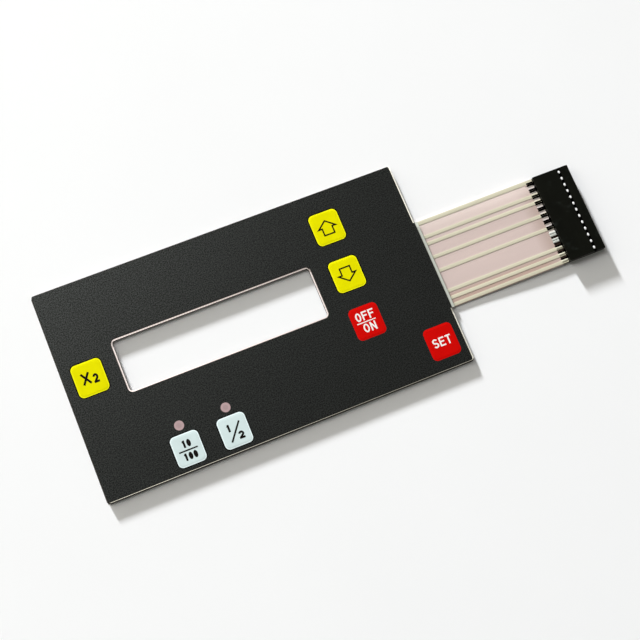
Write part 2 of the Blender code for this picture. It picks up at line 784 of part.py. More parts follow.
def loft_mesh(name, sections, closed):
    """Mesh through rows of points. Closed rows get end faces."""
    bm = bmesh.new()
    rows = [[bm.verts.new(point) for point in section] for section in sections]
    count = len(rows[0])
    spans = count if closed else count - 1
    for near, far in zip(rows, rows[1:]):
        for i in range(spans):
            bm.faces.new([near[i], near[(i + 1) % count], far[(i + 1) % count], far[i]])
    if closed:
        bm.faces.new(rows[0][::-1])
        bm.faces.new(rows[-1])
    bmesh.ops.recalc_face_normals(bm, faces=bm.faces[:])
    mesh = bpy.data.meshes.new(name)
    bm.to_mesh(mesh)
    bm.free()
    return mesh


def square_section(x, y, z, width):
    """Square across the connector's length, centred on a contact."""
    half = width / 2
    return [(x, y - half, z - half), (x, y + half, z - half), (x, y + half, z + half), (x, y - half, z + half)]


def joined_mesh(name, meshes):
    """One mesh that holds several separate shapes."""
    bm = bmesh.new()
    for mesh in meshes:
        bm.from_mesh(mesh)
    joined = bpy.data.meshes.new(name)
    bm.to_mesh(joined)
    bm.free()
    return joined


def cut_with(piece, name, shapes, parent):
    """Cut a set of shapes out of a piece."""
    cutter = add_object(name, joined_mesh(name, shapes), None, parent)
    cutter.hide_render = True
    cutter.display_type = "WIRE"
    cut = piece.modifiers.new(name, "BOOLEAN")
    cut.operation = "DIFFERENCE"
    cut.solver = "EXACT"
    cut.object = cutter


def contact_offsets():
    """Offsets of the contacts from the connector's middle."""
    return [position_y(position) - TAIL_CENTRE_Y for position in range(1, CONTACT_COUNT + 1)]


def make_housing(parent):
    """Moulded housing with a cavity, a pin hole and a lance window for each contact."""
    bm = bmesh.new()
    size = (HOUSING_LENGTH, HOUSING_WIDTH, HOUSING_HEIGHT)
    middle = Vector((HOUSING_LENGTH / 2, 0, HOUSING_HEIGHT / 2))
    bmesh.ops.create_cube(bm, size=1.0, matrix=Matrix.Translation(middle) @ Matrix.Diagonal((*size, 1.0)))
    bmesh.ops.bevel(bm, geom=bm.edges[:], offset=HOUSING_CHAMFER, segments=1, affect="EDGES")
    mesh = bpy.data.meshes.new("connector_housing")
    bm.to_mesh(mesh)
    bm.free()
    black = make_material("connector_black", (0.012, 0.013, 0.011), 0.5)
    housing = add_object("connector_housing", mesh, black, parent)

    middle_z = HOUSING_HEIGHT / 2
    wall_x = HOUSING_LENGTH - MATING_WALL
    overrun = MATING_WALL
    mouth = PIN_HOLE_WIDTH + 2 * PIN_LEAD_IN
    cavities = []
    pin_holes = []
    windows = []
    for y in contact_offsets():
        ends = [square_section(x, y, middle_z, CAVITY_WIDTH) for x in (-overrun, wall_x)]
        cavities.append(loft_mesh("cavity", ends, True))
        hole = [
            square_section(wall_x - overrun, y, middle_z, PIN_HOLE_WIDTH),
            square_section(HOUSING_LENGTH - PIN_LEAD_IN, y, middle_z, PIN_HOLE_WIDTH),
            square_section(HOUSING_LENGTH, y, middle_z, mouth),
            square_section(HOUSING_LENGTH + overrun, y, middle_z, mouth),
        ]
        pin_holes.append(loft_mesh("pin_hole", hole, True))
        window_x = HOUSING_LENGTH - LANCE_WINDOW_FROM_END
        start_x = window_x - LANCE_WINDOW_LENGTH / 2
        end_x = window_x + LANCE_WINDOW_LENGTH / 2
        half = LANCE_WINDOW_WIDTH / 2
        opening = rectangle(start_x, y - half, end_x, y + half)
        levels = (middle_z, HOUSING_HEIGHT + overrun)
        windows.append(loft_mesh("window", [[(*corner, z) for corner in opening] for z in levels], True))
    cut_with(housing, "cavity_cutter", cavities, parent)
    cut_with(housing, "pin_hole_cutter", pin_holes, parent)
    cut_with(housing, "window_cutter", windows, parent)
    return housing


def strip_section(x, half_width, height, lip):
    """Folded strip seen along its length: floor, two walls and two lips, as six points."""
    edge = half_width - lip
    wall_top = height if lip > 0 else height / 2
    return [
        (x, -edge, height),
        (x, -half_width, wall_top),
        (x, -half_width, 0),
        (x, half_width, 0),
        (x, half_width, wall_top),
        (x, edge, height),
    ]


def contact_mesh():
    """Crimp contact folded from strip: crimp over the film, open neck and box socket for a square pin."""
    crimp_lip = CRIMP_HALF_WIDTH - CRIMP_SEAM / 2 - CONTACT_SHEET / 2
    socket_lip = SOCKET_HALF_WIDTH - CRIMP_SEAM / 2 - CONTACT_SHEET / 2
    sections = [
        strip_section(CRIMP_FROM, CRIMP_HALF_WIDTH, CRIMP_HEIGHT, crimp_lip),
        strip_section(CRIMP_TO, CRIMP_HALF_WIDTH, CRIMP_HEIGHT, crimp_lip),
        strip_section(0.0, CRIMP_HALF_WIDTH, NECK_WALL, 0),
        strip_section(SOCKET_FROM - SOCKET_TAPER, CRIMP_HALF_WIDTH, NECK_WALL, 0),
        strip_section(SOCKET_FROM, SOCKET_HALF_WIDTH, SOCKET_HEIGHT, socket_lip),
        strip_section(SOCKET_TO, SOCKET_HALF_WIDTH, SOCKET_HEIGHT, socket_lip),
    ]
    mesh = loft_mesh("contact", sections, False)
    mesh.materials.append(make_material("contact_tin", (0.80, 0.79, 0.76), 0.28, 1.0))
    return mesh


def make_contacts(parent):
    """Thirteen equal contacts, one in each cavity."""
    mesh = contact_mesh()
    for i, y in enumerate(contact_offsets()):
        contact = add_object(f"contact_{i + 1:02d}", mesh, None, parent, (0, y, CONTACT_Z))
        sheet = contact.modifiers.new("sheet", "SOLIDIFY")
        sheet.thickness = CONTACT_SHEET
        sheet.offset = 0.0
        sheet.use_even_offset = True


def main():
    """Build the keypad."""
    clear_scene()
    panel = make_empty("panel_centre", (PANEL_X, 0, 0))
    connector = make_empty("connector_root", (HOUSING_X, TAIL_CENTRE_Y, 0))
    connector.parent = panel
    make_rear_layers(panel)
    make_circuit_film(panel)
    make_conductors(panel)
    make_insulation(panel)
    make_dome_spacer(panel)
    make_domes(panel)
    make_dome_retainer(panel)
    make_overlay_adhesive(panel)
    make_overlay(panel)
    make_housing(connector)
    make_contacts(connector)


main()
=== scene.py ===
"""Finish of a membrane keypad, laid out as an add-on and run as a script.

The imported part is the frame. The printed front film, its legends, the circuit tail, the crimps and every
finish are built round it. All lengths are in metres. The part lies front face up, with its tail along +X.
"""

import math

import bmesh
import bpy
from bpy.props import FloatProperty, FloatVectorProperty, PointerProperty
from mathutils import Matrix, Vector
from mathutils.geometry import delaunay_2d_cdt


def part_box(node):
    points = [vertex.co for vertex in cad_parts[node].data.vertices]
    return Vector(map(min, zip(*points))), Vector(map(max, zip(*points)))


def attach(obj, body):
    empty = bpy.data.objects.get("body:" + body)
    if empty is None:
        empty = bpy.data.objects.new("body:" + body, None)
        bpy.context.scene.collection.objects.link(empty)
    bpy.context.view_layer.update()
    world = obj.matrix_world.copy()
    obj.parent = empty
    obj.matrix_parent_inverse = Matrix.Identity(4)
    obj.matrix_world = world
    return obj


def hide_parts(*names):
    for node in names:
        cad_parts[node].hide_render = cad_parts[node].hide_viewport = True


bl_info = {
    "name": "Membrane Keypad Finish",
    "version": (1, 0, 0),
    "blender": (4, 5, 0),
    "location": "3D View > Sidebar > Keypad",
    "description": "Builds the printed front film, legends, tail, crimps and finishes of a membrane keypad",
    "category": "Add Mesh",
}

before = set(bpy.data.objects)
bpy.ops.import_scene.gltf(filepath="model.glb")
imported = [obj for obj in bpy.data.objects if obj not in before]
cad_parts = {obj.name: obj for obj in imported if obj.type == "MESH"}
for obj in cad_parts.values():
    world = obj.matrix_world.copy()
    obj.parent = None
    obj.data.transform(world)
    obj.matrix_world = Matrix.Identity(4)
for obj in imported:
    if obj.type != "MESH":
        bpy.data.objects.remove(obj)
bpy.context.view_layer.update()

MM = 0.001
BODY = "root"

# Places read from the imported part
PANEL_LOW, PANEL_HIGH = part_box("dome_spacer")
OVERLAY_LOW, OVERLAY_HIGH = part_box("graphic_overlay")
OVERLAY_SETBACK = OVERLAY_LOW.y - PANEL_LOW.y
FILM_LOW, FILM_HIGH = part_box("circuit_film")
RETAINER_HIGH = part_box("dome_retainer")[1]
PRINT_LOW, PRINT_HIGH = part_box("tail_insulation")
HOUSING_LOW, HOUSING_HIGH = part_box("connector_housing")
CONTACT_NAMES = [name for name in sorted(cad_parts) if name.startswith("contact_")]
CONTACT_BOXES = [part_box(name) for name in CONTACT_NAMES]

# Keys by colour, and positions of the connector counted from the tail's upper edge
KEY_NAMES = ("left", "up", "down", "clear", "enter", "units", "half")
YELLOW_KEYS = ("left", "up", "down")
RED_KEYS = ("clear", "enter")
SMALL_KEYS = ("units", "half")
PRINTED_POSITIONS = (1, 3, 4, 6, 8, 11, 12, 13)
# The crimps at these positions carry painted bright and cream reflections, the others a black one
BRIGHT_POSITIONS = (9, 10)
PALE_POSITIONS = (11, 12, 13)

# Fineness of the meshes
PLAN_SCALE = 1000.0
PLAN_TOLERANCE = 0.00001
CORNER_STEPS = 12
ROUND_STEPS = 64
SMALL_ROUND_STEPS = 32
BOW_STEPS = 10
PROFILE_STEPS = 7
TAIL_STEPS = 48
CROWN_STEPS = 10
FLOOR_CELLS = 8
SMOOTH_ANGLE = math.radians(38)
SOFTENED_ANGLE = math.radians(30)
SOFTENED_STEPS = 3

# Painted light: glow given to the clear film's shaded ledges, though the film is no lamp
LEFT_PAINTED_GLOW = 0.46
RIGHT_PAINTED_GLOW = 0.0
OUTER_PAINTED_GLOW = 0.2
UPPER_PAINTED_GLOW = 0.34
LOWER_PAINTED_GLOW = 0.26

# Form of the printed strips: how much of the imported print's height they and the band at the root keep, how
# much of a strip's height stands upright at its sides, and how steep its crown is
PRINT_SHARE = 0.7
BAND_SHARE = 0.5
PRINT_SIDE = 0.75
CROWN_POWER = 5

# Cut edges of the front film: how far their rounding and the flat ledge after it reach, as multiples of the
# rounding's depth, and how level a face has to be to carry print
ROUNDED_REACH = 2
LEDGE_REACH = 5
PRINTED_LEVEL = 0.5

# Strokes: how sharp a mitred bend may get, and special strokes as shares of the legend's stroke
MITRE_LIMIT = 0.3
RULE_SHARE = 0.65
SMALL_SHARE = 0.95
SLASH_SHARE = 0.8

# Folds of the contacts as shares: corner of the section's smaller side, open wall and crimp's curl of its
# height, crimp's end stretches and socket's curl of the sheet's thickness, crown of the dimple's length
CORNER_SHARE = 0.35
WALL_SHARE = 0.5
CRIMP_CURL = 0.08
END_SHARE = 0.8
SOCKET_CURL = 0.5
CROWN_SHARE = 0.12

# Places where a tint changes: from the crimps' start (darker film, and painted light and shade between
# the crimps), from the panel's edge and from the liner's back (painted shade on cut edges)
TINT_BEFORE_CRIMP = 4.4 * MM
TINT_PAST_CRIMP = 0.2 * MM
TINT_IN_PANEL = 0.4 * MM
LINER_FACE = 0.01 * MM

# Tints and shares of brightness
BLACK = (0.0, 0.0, 0.0)
VELVET_TINT = (0.95, 1.0, 0.95, 1.0)
SPECK_SHARE = 1.3
CORE_SHARE = 0.88
FIBRE_SHARE = 0.93


def linear(*levels):
    """Scene colour of three display levels from 0 to 255."""
    shares = [level / 255 for level in levels]
    return [s / 12.92 if s <= 0.04045 else ((s + 0.055) / 1.055) ** 2.4 for s in shares]


def length(name, description, default):
    """A length in metres that a user can change."""
    return FloatProperty(
        name=name,
        description=description,
        default=default,
        min=0.0,
        precision=5,
        subtype="DISTANCE",
        unit="LENGTH",
    )


def colour(name, description, *levels):
    """A colour that a user can change, given as display levels."""
    return FloatVectorProperty(
        name=name,
        description=description,
        default=linear(*levels),
        min=0.0,
        max=1.0,
        size=3,
        subtype="COLOR",
    )


class KeypadSizes(bpy.types.PropertyGroup):
    """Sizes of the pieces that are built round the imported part."""

    key_width: length("Key width", "Width of a key's colour field", 0.01075)
    key_height: length("Key height", "Height of a key's colour field", 0.01185)
    small_key_width: length("Small key width", "Width of a pale key's colour field", 0.0101)
    small_key_height: length("Small key height", "Height of a pale key's colour field", 0.01115)
    key_corner: length("Key corner", "Corner radius of a key's colour field", 0.0018)
    # Painted highlight: width of the lighter rim inside a yellow or pale key
    key_rim: length("Key rim", "Width of the brighter rim of a key", 0.00032)
    # Painted shade: width of the black line round a yellow or pale key
    key_painted_shade_ring: length("Key groove", "Width of the deep black line round a key", 0.00036)
    emboss_run: length("Emboss run", "Width of the slope round a raised key", 0.0009)
    overlay_thickness: length("Front film", "Thickness of the front film", 0.00025)
    panel_corner: length("Panel corner", "Corner radius of the lower films", 0.0010)
    front_corner: length("Front corner", "Corner radius of the front film", 0.0007)
    edge_round: length("Edge rounding", "Rounding of a film's cut edge", 0.00004)
    overlay_to_bottom: length("Film to bottom", "Front film to the panel's bottom edge", 0.00014)
    root_tab: length("Root tab", "Reach of the front film over the tail's root", 0.00015)
    display_from_left: length("Display from left", "Panel edge to the display window", 0.0201)
    display_from_top: length("Display from top", "Panel edge to the display window", 0.0247)
    display_width: length("Display width", "Width of the window in the lower films", 0.0732)
    display_height: length("Display height", "Height of the window in the lower films", 0.0188)
    display_corner: length("Display corner", "Corner radius of the window", 0.0013)
    display_ledge: length("Display ledge", "Lower films that show round the window", 0.00045)
    lamp_diameter: length("Lamp window", "Diameter of an indicator window", 0.0034)
    lamp_core: length("Lamp core", "Diameter of the faint ring in an indicator window", 0.0018)
    lamp_gap: length("Lamp gap", "Key edge to the indicator window above it", 0.00135)
    ink_thickness: length("Ink", "Thickness of the printed legends", 0.000012)
    letter_stroke: length("Letter stroke", "Width of a stroke of the white legends", 0.00053)
    dark_stroke: length("Dark stroke", "Width of a stroke of the dark legends", 0.00076)
    arrow_stroke: length("Arrow stroke", "Width of the arrows' outline", 0.00052)
    film_thickness: length("Circuit film", "Thickness of the circuit film", 0.00018)
    strip_width: length("Strip width", "Width of a printed strip on the tail", 0.00128)
    strip_to_edge: length("Strip to edge", "Outer printed strip to the tail's edge", 0.00022)
    top_margin: length("Top margin", "Upper side of the first strip to the tail's edge", 0.00003)
    climb_to_crimp: length("Climb to crimp", "End of the tail's rise to the crimps", 0.0011)
    print_to_housing: length("Print to housing", "End of the printed strips to the housing", 0.00005)
    sheet: length("Contact sheet", "Thickness of the contacts' sheet metal", 0.0002)
    crimp_length: length("Crimp length", "Length of the contact in front of the housing", 0.0027)
    crimp_to_housing: length("Crimp to housing", "End of the rolled crimp to the housing", 0.0002)
    crimp_width: length("Crimp width", "Width of the crimp on the sheet's middle line", 0.00115)
    wide_crimp: length("Wide crimp", "Width of an unused contact's crimp", 0.0015)
    crimp_height: length("Crimp height", "Height of the crimp on the sheet's middle line", 0.00042)
    neck_height: length("Neck height", "Height of the contact's open neck", 0.0003)
    socket_width: length("Socket width", "Width and height of the socket's middle line", 0.0013)
    socket_length: length("Socket length", "Length of the socket", 0.0068)
    socket_taper: length("Socket taper", "Stretch in which the neck widens to the socket", 0.0009)
    socket_to_end: length("Socket to end", "Socket to the housing's mating face", 0.00095)
    seam: length("Seam", "Gap between the two folded edges of the sheet", 0.00003)
    slot_clearance: length("Slot clearance", "Film slot to the crimp's walls", 0.00005)
    window_from_end: length("Window from end", "Locking window to the mating face", 0.0039)
    tang_length: length("Tang length", "Length of the locking dimple in its window", 0.0008)
    tang_width: length("Tang width", "Width of the locking dimple", 0.00128)
    tang_depth: length("Tang depth", "Locking dimple's top under the housing's top", 0.00003)
    # Painted shade: width of the deep black band along the locking windows
    window_row_painted_shade: length("Window row", "Width of the deep black band along the locking windows", 0.00095)
    housing_round: length("Housing rounding", "Softening of the housing's edges", 0.00006)


class KeypadColours(bpy.types.PropertyGroup):
    """Colours of the pieces."""

    overlay: colour("Front film", "Black of the front film", 24, 25, 24)
    # Painted shade: black line round the yellow and pale keys
    painted_shade_ring: colour("Groove", "Deep black line round a key", 2, 2, 2)
    cut_edge: colour("Cut edge", "Cut edge of the front film", 52, 44, 32)
    yellow: colour("Yellow keys", "Ink of the yellow keys", 230, 224, 0)
    # Painted highlights: lighter rims of the yellow and pale keys
    yellow_rim: colour("Yellow rims", "Rim of the yellow keys", 250, 246, 20)
    red: colour("Red keys", "Ink of the red keys", 205, 10, 6)
    pale: colour("Pale keys", "Ink of the pale keys", 212, 228, 227)
    pale_rim: colour("Pale rims", "Rim of the pale keys", 236, 250, 250)
    dark_ink: colour("Dark legends", "Ink of the dark legends", 14, 9, 6)
    white_ink: colour("White legends", "Ink of the white legends", 244, 244, 240)
    lamp: colour("Lamp windows", "Tint of the indicator windows", 210, 179, 180)
    tail: colour("Circuit film", "Tint of the circuit film", 228, 208, 201)
    # Painted light along the tail's upper side and painted shade along its lower side
    tail_top_painted_light: colour("Upper circuit film", "Tint at the tail's upper side", 250, 233, 225)
    tail_foot_painted_shade: colour("Lower circuit film", "Tint at the tail's lower side", 206, 178, 165)
    tail_end: colour("End of the circuit film", "Tint just before the crimps", 208, 186, 176)
    # Painted light on the film between the used crimps, painted shade between the unused ones
    crimp_gap_painted_light: colour("Film at used crimps", "Tint between the used crimps", 252, 242, 236)
    crimp_gap_painted_shade: colour("Film at unused crimps", "Tint between the other crimps", 60, 46, 40)
    # Painted shade on the cut edges of the circuit film inside the panel and of the liner
    wall_painted_shade: colour("Inner circuit film", "Cut edge of the lower films in the panel", 38, 32, 29)
    tail_print: colour("Insulating print", "Cream print over the tracks", 210, 205, 181)
    silver: colour("Silver ink", "Printed tracks", 190, 190, 186)
    retainer: colour("Retainer film", "Film over the domes", 248, 234, 228)
    outer_film: colour("Outer film", "The same film at the panel's outer edges", 250, 246, 230)
    root_film: colour("Root film", "The same film over the tail's root", 182, 185, 175)
    # Painted shade: the spacer and both adhesives are darkened to the shade on the panel's cut walls; the
    # rear adhesive is dark of its own as well
    spacer: colour("Spacer", "Spacer film and its edge", 44, 37, 33)
    clear_adhesive: colour("Adhesive", "Adhesive under the front film", 48, 42, 38)
    dark_adhesive: colour("Rear adhesive", "Mounting adhesive", 30, 26, 24)
    liner: colour("Liner", "Release liner", 236, 232, 222)
    housing: colour("Housing", "Moulded connector housing", 12, 13, 8)
    rubbed: colour("Rubbed places", "Rubbed places of the housing", 56, 62, 58)
    # Painted reflections: one tin, painted bright where crimps mirror the light, cream where they mirror the
    # pale print and black where they mirror dark surroundings
    tin: colour("Tin", "Bright contacts", 206, 209, 201)
    pale_tin_painted_reflection: colour("Pale tin", "Contacts that mirror the pale print", 218, 215, 194)
    dark_tin_painted_reflection_and_shade: colour("Dull tin", "Tarnished contacts", 5, 3, 3)
    # Painted highlight: the tin dimples are painted near white, as if mirroring the light
    dimple: colour("Dimples", "Locking dimples in the housing", 252, 252, 250)
    steel: colour("Steel", "Domes", 200, 200, 196)
    floor: colour("Floor", "Pale studio floor", 248, 248, 248)


def sizes():
    """The scene's sizes."""
    return bpy.context.scene.keypad_sizes


def colours():
    """The scene's colours."""
    return bpy.context.scene.keypad_colours


def tail_middle():
    """Y of the tail's centre line."""
    return (HOUSING_LOW.y + HOUSING_HIGH.y) / 2


def contact_y(position):
    """Y of one of the contacts, counted from the tail's upper edge."""
    low, high = CONTACT_BOXES[position - 1]
    return (low.y + high.y) / 2


def middle_of(node):
    """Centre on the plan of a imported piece."""
    low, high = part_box(node)
    return (low.x + high.x) / 2, (low.y + high.y) / 2


KEY_CENTRES = {name: middle_of("dome_" + name) for name in KEY_NAMES}


def key_box(name, inset=0.0):
    """Left, bottom, right and top of a key's colour field, drawn in by an inset."""
    x, y = KEY_CENTRES[name]
    width, height = sizes().key_width, sizes().key_height
    if name in SMALL_KEYS:
        width, height = sizes().small_key_width, sizes().small_key_height
    half_width = width / 2 - inset
    half_height = height / 2 - inset
    return x - half_width, y - half_height, x + half_width, y + half_height


def overlay_box(inset=0.0):
    """Left, bottom, right and top of the front film without its root tab."""
    left, right = PANEL_LOW.x, PANEL_HIGH.x - OVERLAY_SETBACK
    bottom, top = PANEL_LOW.y + sizes().overlay_to_bottom, PANEL_HIGH.y
    return left + inset, bottom + inset, right - inset, top - inset


def tab_box(inset=0.0):
    """Left, bottom, right and top of the front film's tab over the tail's root."""
    start = PANEL_HIGH.x - sizes().panel_corner - OVERLAY_SETBACK
    end = PANEL_HIGH.x + sizes().root_tab
    return start + inset, HOUSING_LOW.y + inset, end - inset, HOUSING_HIGH.y - inset


def display_box(margin=0.0):
    """Left, bottom, right and top of the display window, grown by a margin."""
    left = PANEL_LOW.x + sizes().display_from_left
    top = PANEL_HIGH.y - sizes().display_from_top
    right = left + sizes().display_width
    bottom = top - sizes().display_height
    return left - margin, bottom - margin, right + margin, top + margin


def lamp_centres():
    """Centres of the two indicator windows, above the two pale keys."""
    rise = sizes().small_key_height / 2 + sizes().lamp_gap + sizes().lamp_diameter / 2
    return [(KEY_CENTRES[name][0], KEY_CENTRES[name][1] + rise) for name in SMALL_KEYS]


def rectangle(box):
    """Corner points of an upright rectangle, anticlockwise."""
    left, bottom, right, top = box
    return [(left, bottom), (right, bottom), (right, top), (left, top)]


def bow(x, y, across, along, start, end, steps=BOW_STEPS):
    """Points on part of an ellipse between two angles in degrees, both ends included."""
    turns = [math.radians(start + (end - start) * i / steps) for i in range(steps + 1)]
    return [(x + across * math.cos(a), y + along * math.sin(a)) for a in turns]


def oval(x, y, across, along, steps=SMALL_ROUND_STEPS):
    """Points round a full ellipse, anticlockwise."""
    return bow(x, y, across, along, 0, 360, steps)[:-1]


def circle(x, y, diameter):
    """Points round a full circle, anticlockwise."""
    return oval(x, y, diameter / 2, diameter / 2, ROUND_STEPS)


def rounded(box, radius):
    """Rectangle whose corners are arcs, anticlockwise."""
    left, bottom, right, top = box
    centres = [
        (right - radius, top - radius),
        (left + radius, top - radius),
        (left + radius, bottom + radius),
        (right - radius, bottom + radius),
    ]
    points = []
    for i, (x, y) in enumerate(centres):
        points += bow(x, y, radius, radius, i * 90, (i + 1) * 90, CORNER_STEPS)
    return points


def inset_of(x, y, box, radius):
    """How far a point lies inside a rounded rectangle. It is negative outside."""
    left, bottom, right, top = box
    across = abs(x - (left + right) / 2) - (right - left) / 2 + radius
    along = abs(y - (bottom + top) / 2) - (top - bottom) / 2 + radius
    outside = math.hypot(max(across, 0.0), max(along, 0.0))
    inside = min(max(across, along), 0.0)
    return radius - outside - inside


def smooth_step(value):
    """Rise from 0 to 1 with level ends."""
    value = min(max(value, 0.0), 1.0)
    return value * value * (3 - 2 * value)


def mitre(before, after, distance):
    """Step to the right of a bend that keeps a distance from the lines before and after it."""
    middle = (before + after).normalized()
    return Vector((middle.y, -middle.x)) * (distance / max(middle.dot(before), MITRE_LIMIT))


def ribbon(points, width):
    """Outline of a stroke of constant width along a line with mitred bends."""
    line = [Vector(point) for point in points]
    left_side = []
    right_side = []
    for i, point in enumerate(line):
        before = (point - line[i - 1]).normalized() if i > 0 else (line[1] - point).normalized()
        after = (line[i + 1] - point).normalized() if i < len(line) - 1 else before
        side = mitre(before, after, width / 2)
        left_side.append(tuple(point - side))
        right_side.append(tuple(point + side))
    return right_side + left_side[::-1]


def offset_loop(points, distance):
    """Closed loop moved to its right by a distance, with mitred corners."""
    line = [Vector(point) for point in points]
    moved = []
    for i, point in enumerate(line):
        before = (point - line[i - 1]).normalized()
        after = (line[(i + 1) % len(line)] - point).normalized()
        moved.append(tuple(point + mitre(before, after, distance)))
    return moved


def flat_faces(bm, regions, holes, creases):
    """Fill everything inside the regions and outside the holes, with edges along the creases."""
    points = []
    loops = []
    for loop in regions + creases + holes:
        first = len(points)
        points += [Vector(point) * PLAN_SCALE for point in loop]
        loops.append(list(range(first, len(points))))
    plan = delaunay_2d_cdt(points, [], loops, 1, PLAN_TOLERANCE)
    corners, triangles, owners = plan[0], plan[2], plan[5]
    first_hole = len(regions) + len(creases)
    made = {}
    for triangle, owner in zip(triangles, owners):
        if not owner or min(owner) >= len(regions) or max(owner) >= first_hole:
            continue
        for corner in triangle:
            if corner not in made:
                made[corner] = bm.verts.new((*(corners[corner] / PLAN_SCALE), 0.0))
        bm.faces.new([made[corner] for corner in triangle])


def sheet_mesh(name, regions, holes, creases, bottom, top):
    """Closed mesh of a film whose two faces follow height functions of the plan position."""
    bm = bmesh.new()
    flat_faces(bm, regions, holes, creases)
    lower = list(bm.verts)
    extruded = bmesh.ops.extrude_face_region(bm, geom=bm.faces[:])
    upper = [item for item in extruded["geom"] if isinstance(item, bmesh.types.BMVert)]
    for vertex in upper:
        vertex.co.z = top(vertex.co.x, vertex.co.y)
    for vertex in lower:
        vertex.co.z = bottom(vertex.co.x, vertex.co.y)
    bmesh.ops.recalc_face_normals(bm, faces=bm.faces[:])
    return finished_mesh(name, bm)


def finished_mesh(name, bm):
    """Mesh of a bmesh, smooth where its faces meet softly."""
    mesh = bpy.data.meshes.new(name)
    bm.to_mesh(mesh)
    bm.free()
    mesh.shade_smooth()
    mesh.set_sharp_from_angle(angle=SMOOTH_ANGLE)
    return mesh


def loft(bm, rows, closed):
    """Faces through rows of points. Closed rows get end faces."""
    made = [[bm.verts.new(point) for point in row] for row in rows]
    count = len(made[0])
    spans = count if closed else count - 1
    for near, far in zip(made, made[1:]):
        for i in range(spans):
            bm.faces.new([near[i], near[(i + 1) % count], far[(i + 1) % count], far[i]])
    if closed:
        bm.faces.new(made[0][::-1])
        bm.faces.new(made[-1])


def add_piece(name, mesh, materials, replaced=(), location=(0, 0, 0)):
    """Link a mesh as one named piece of the object."""
    piece = bpy.data.objects.new(name, mesh)
    for material in materials:
        if material.name not in mesh.materials:
            mesh.materials.append(material)
    piece.location = location
    bpy.context.scene.collection.objects.link(piece)
    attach(piece, BODY)
    if replaced:
        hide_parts(*replaced)
    return piece


def dress(node, material):
    """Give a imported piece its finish."""
    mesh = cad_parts[node].data
    mesh.materials.clear()
    mesh.materials.append(material)


class Finish:
    """One material and the nodes that its finish is made of."""

    def __init__(self, name, roughness, metallic=0.0, alpha=1.0, specular=0.5):
        self.material = bpy.data.materials.new(name)
        self.material.use_nodes = True
        self.nodes = self.material.node_tree.nodes
        self.links = self.material.node_tree.links
        self.shader = self.nodes["Principled BSDF"]
        self.shader.inputs["Roughness"].default_value = roughness
        self.shader.inputs["Metallic"].default_value = metallic
        self.shader.inputs["Alpha"].default_value = alpha
        self.shader.inputs["Specular IOR Level"].default_value = specular
        self.place = self.nodes.new("ShaderNodeTexCoord").outputs["Object"]

    def counted(self, size, stretch=(1.0, 1.0, 1.0)):
        """Position counted in grains of a size in metres."""
        mapping = self.nodes.new("ShaderNodeMapping")
        mapping.inputs["Scale"].default_value = [share / size for share in stretch]
        self.links.new(self.place, mapping.inputs["Vector"])
        return mapping.outputs["Vector"]

    def noise(self, size, detail=2.0, stretch=(1.0, 1.0, 1.0), rough=0.5):
        """Noise whose patches have about a size in metres."""
        place = self.counted(size, stretch)
        texture = self.nodes.new("ShaderNodeTexNoise")
        texture.inputs["Scale"].default_value = 1.0
        texture.inputs["Detail"].default_value = detail
        texture.inputs["Roughness"].default_value = rough
        self.links.new(place, texture.inputs["Vector"])
        return texture.outputs["Fac"]

    def cells(self, size):
        """Distance from the centres of scattered cells of about a size in metres."""
        place = self.counted(size)
        texture = self.nodes.new("ShaderNodeTexVoronoi")
        texture.inputs["Scale"].default_value = 1.0
        self.links.new(place, texture.inputs["Vector"])
        return texture.outputs["Distance"]

    def position(self):
        """Position along X, Y and Z."""
        split = self.nodes.new("ShaderNodeSeparateXYZ")
        self.links.new(self.place, split.inputs["Vector"])
        return split.outputs["X"], split.outputs["Y"], split.outputs["Z"]

    def combine(self, operation, first, second):
        """Sum or product of two values."""
        node = self.nodes.new("ShaderNodeMath")
        node.operation = operation
        self.links.new(first, node.inputs[0])
        self.links.new(second, node.inputs[1])
        return node.outputs["Value"]

    def spread(self, factor, low, high, start=0.3, end=0.7):
        """Map a value between start and end, such as a texture's middle range, onto low and high."""
        node = self.nodes.new("ShaderNodeMapRange")
        node.inputs["From Min"].default_value = start
        node.inputs["From Max"].default_value = end
        node.inputs["To Min"].default_value = low
        node.inputs["To Max"].default_value = high
        self.links.new(factor, node.inputs["Value"])
        return node.outputs["Result"]

    def rise(self, position, start, stretch, level=1.0):
        """Value that goes from 0 to a level over a stretch of a position."""
        return self.spread(position, 0.0, level, start, start + stretch)

    def fall(self, position, start, stretch, level=1.0):
        """Value that goes from a level to 0 over a stretch of a position."""
        return self.spread(position, level, 0.0, start, start + stretch)

    def blend(self, factor, first, second):
        """Mix two colours or colour outputs by a factor."""
        node = self.nodes.new("ShaderNodeMix")
        node.data_type = "RGBA"
        self.links.new(factor, node.inputs["Factor"])
        for value, socket in ((first, node.inputs[6]), (second, node.inputs[7])):
            if isinstance(value, bpy.types.NodeSocket):
                self.links.new(value, socket)
            else:
                socket.default_value = (*value, 1.0)
        return node.outputs[2]

    def drive(self, socket, output):
        """Let a node's output set one of the shader's values."""
        self.links.new(output, self.shader.inputs[socket])

    def paint(self, base, factor, share):
        """Base colour that varies by a share to both sides of the base."""
        tone = self.blend(self.spread(factor, 0.0, 1.0), scaled(base, 1 - share), scaled(base, 1 + share))
        self.drive("Base Color", tone)
        return tone

    def vary(self, socket, factor, low, high):
        """Let a shader value follow a texture."""
        self.drive(socket, self.spread(factor, low, high))

    def relief(self, factor, height):
        """Bump of a real height in metres."""
        node = self.nodes.new("ShaderNodeBump")
        node.inputs["Distance"].default_value = height
        self.links.new(factor, node.inputs["Height"])
        self.drive("Normal", node.outputs["Normal"])


def scaled(base, share):
    """Colour with a share of the base's brightness."""
    return [min(level * share, 1.0) for level in base]


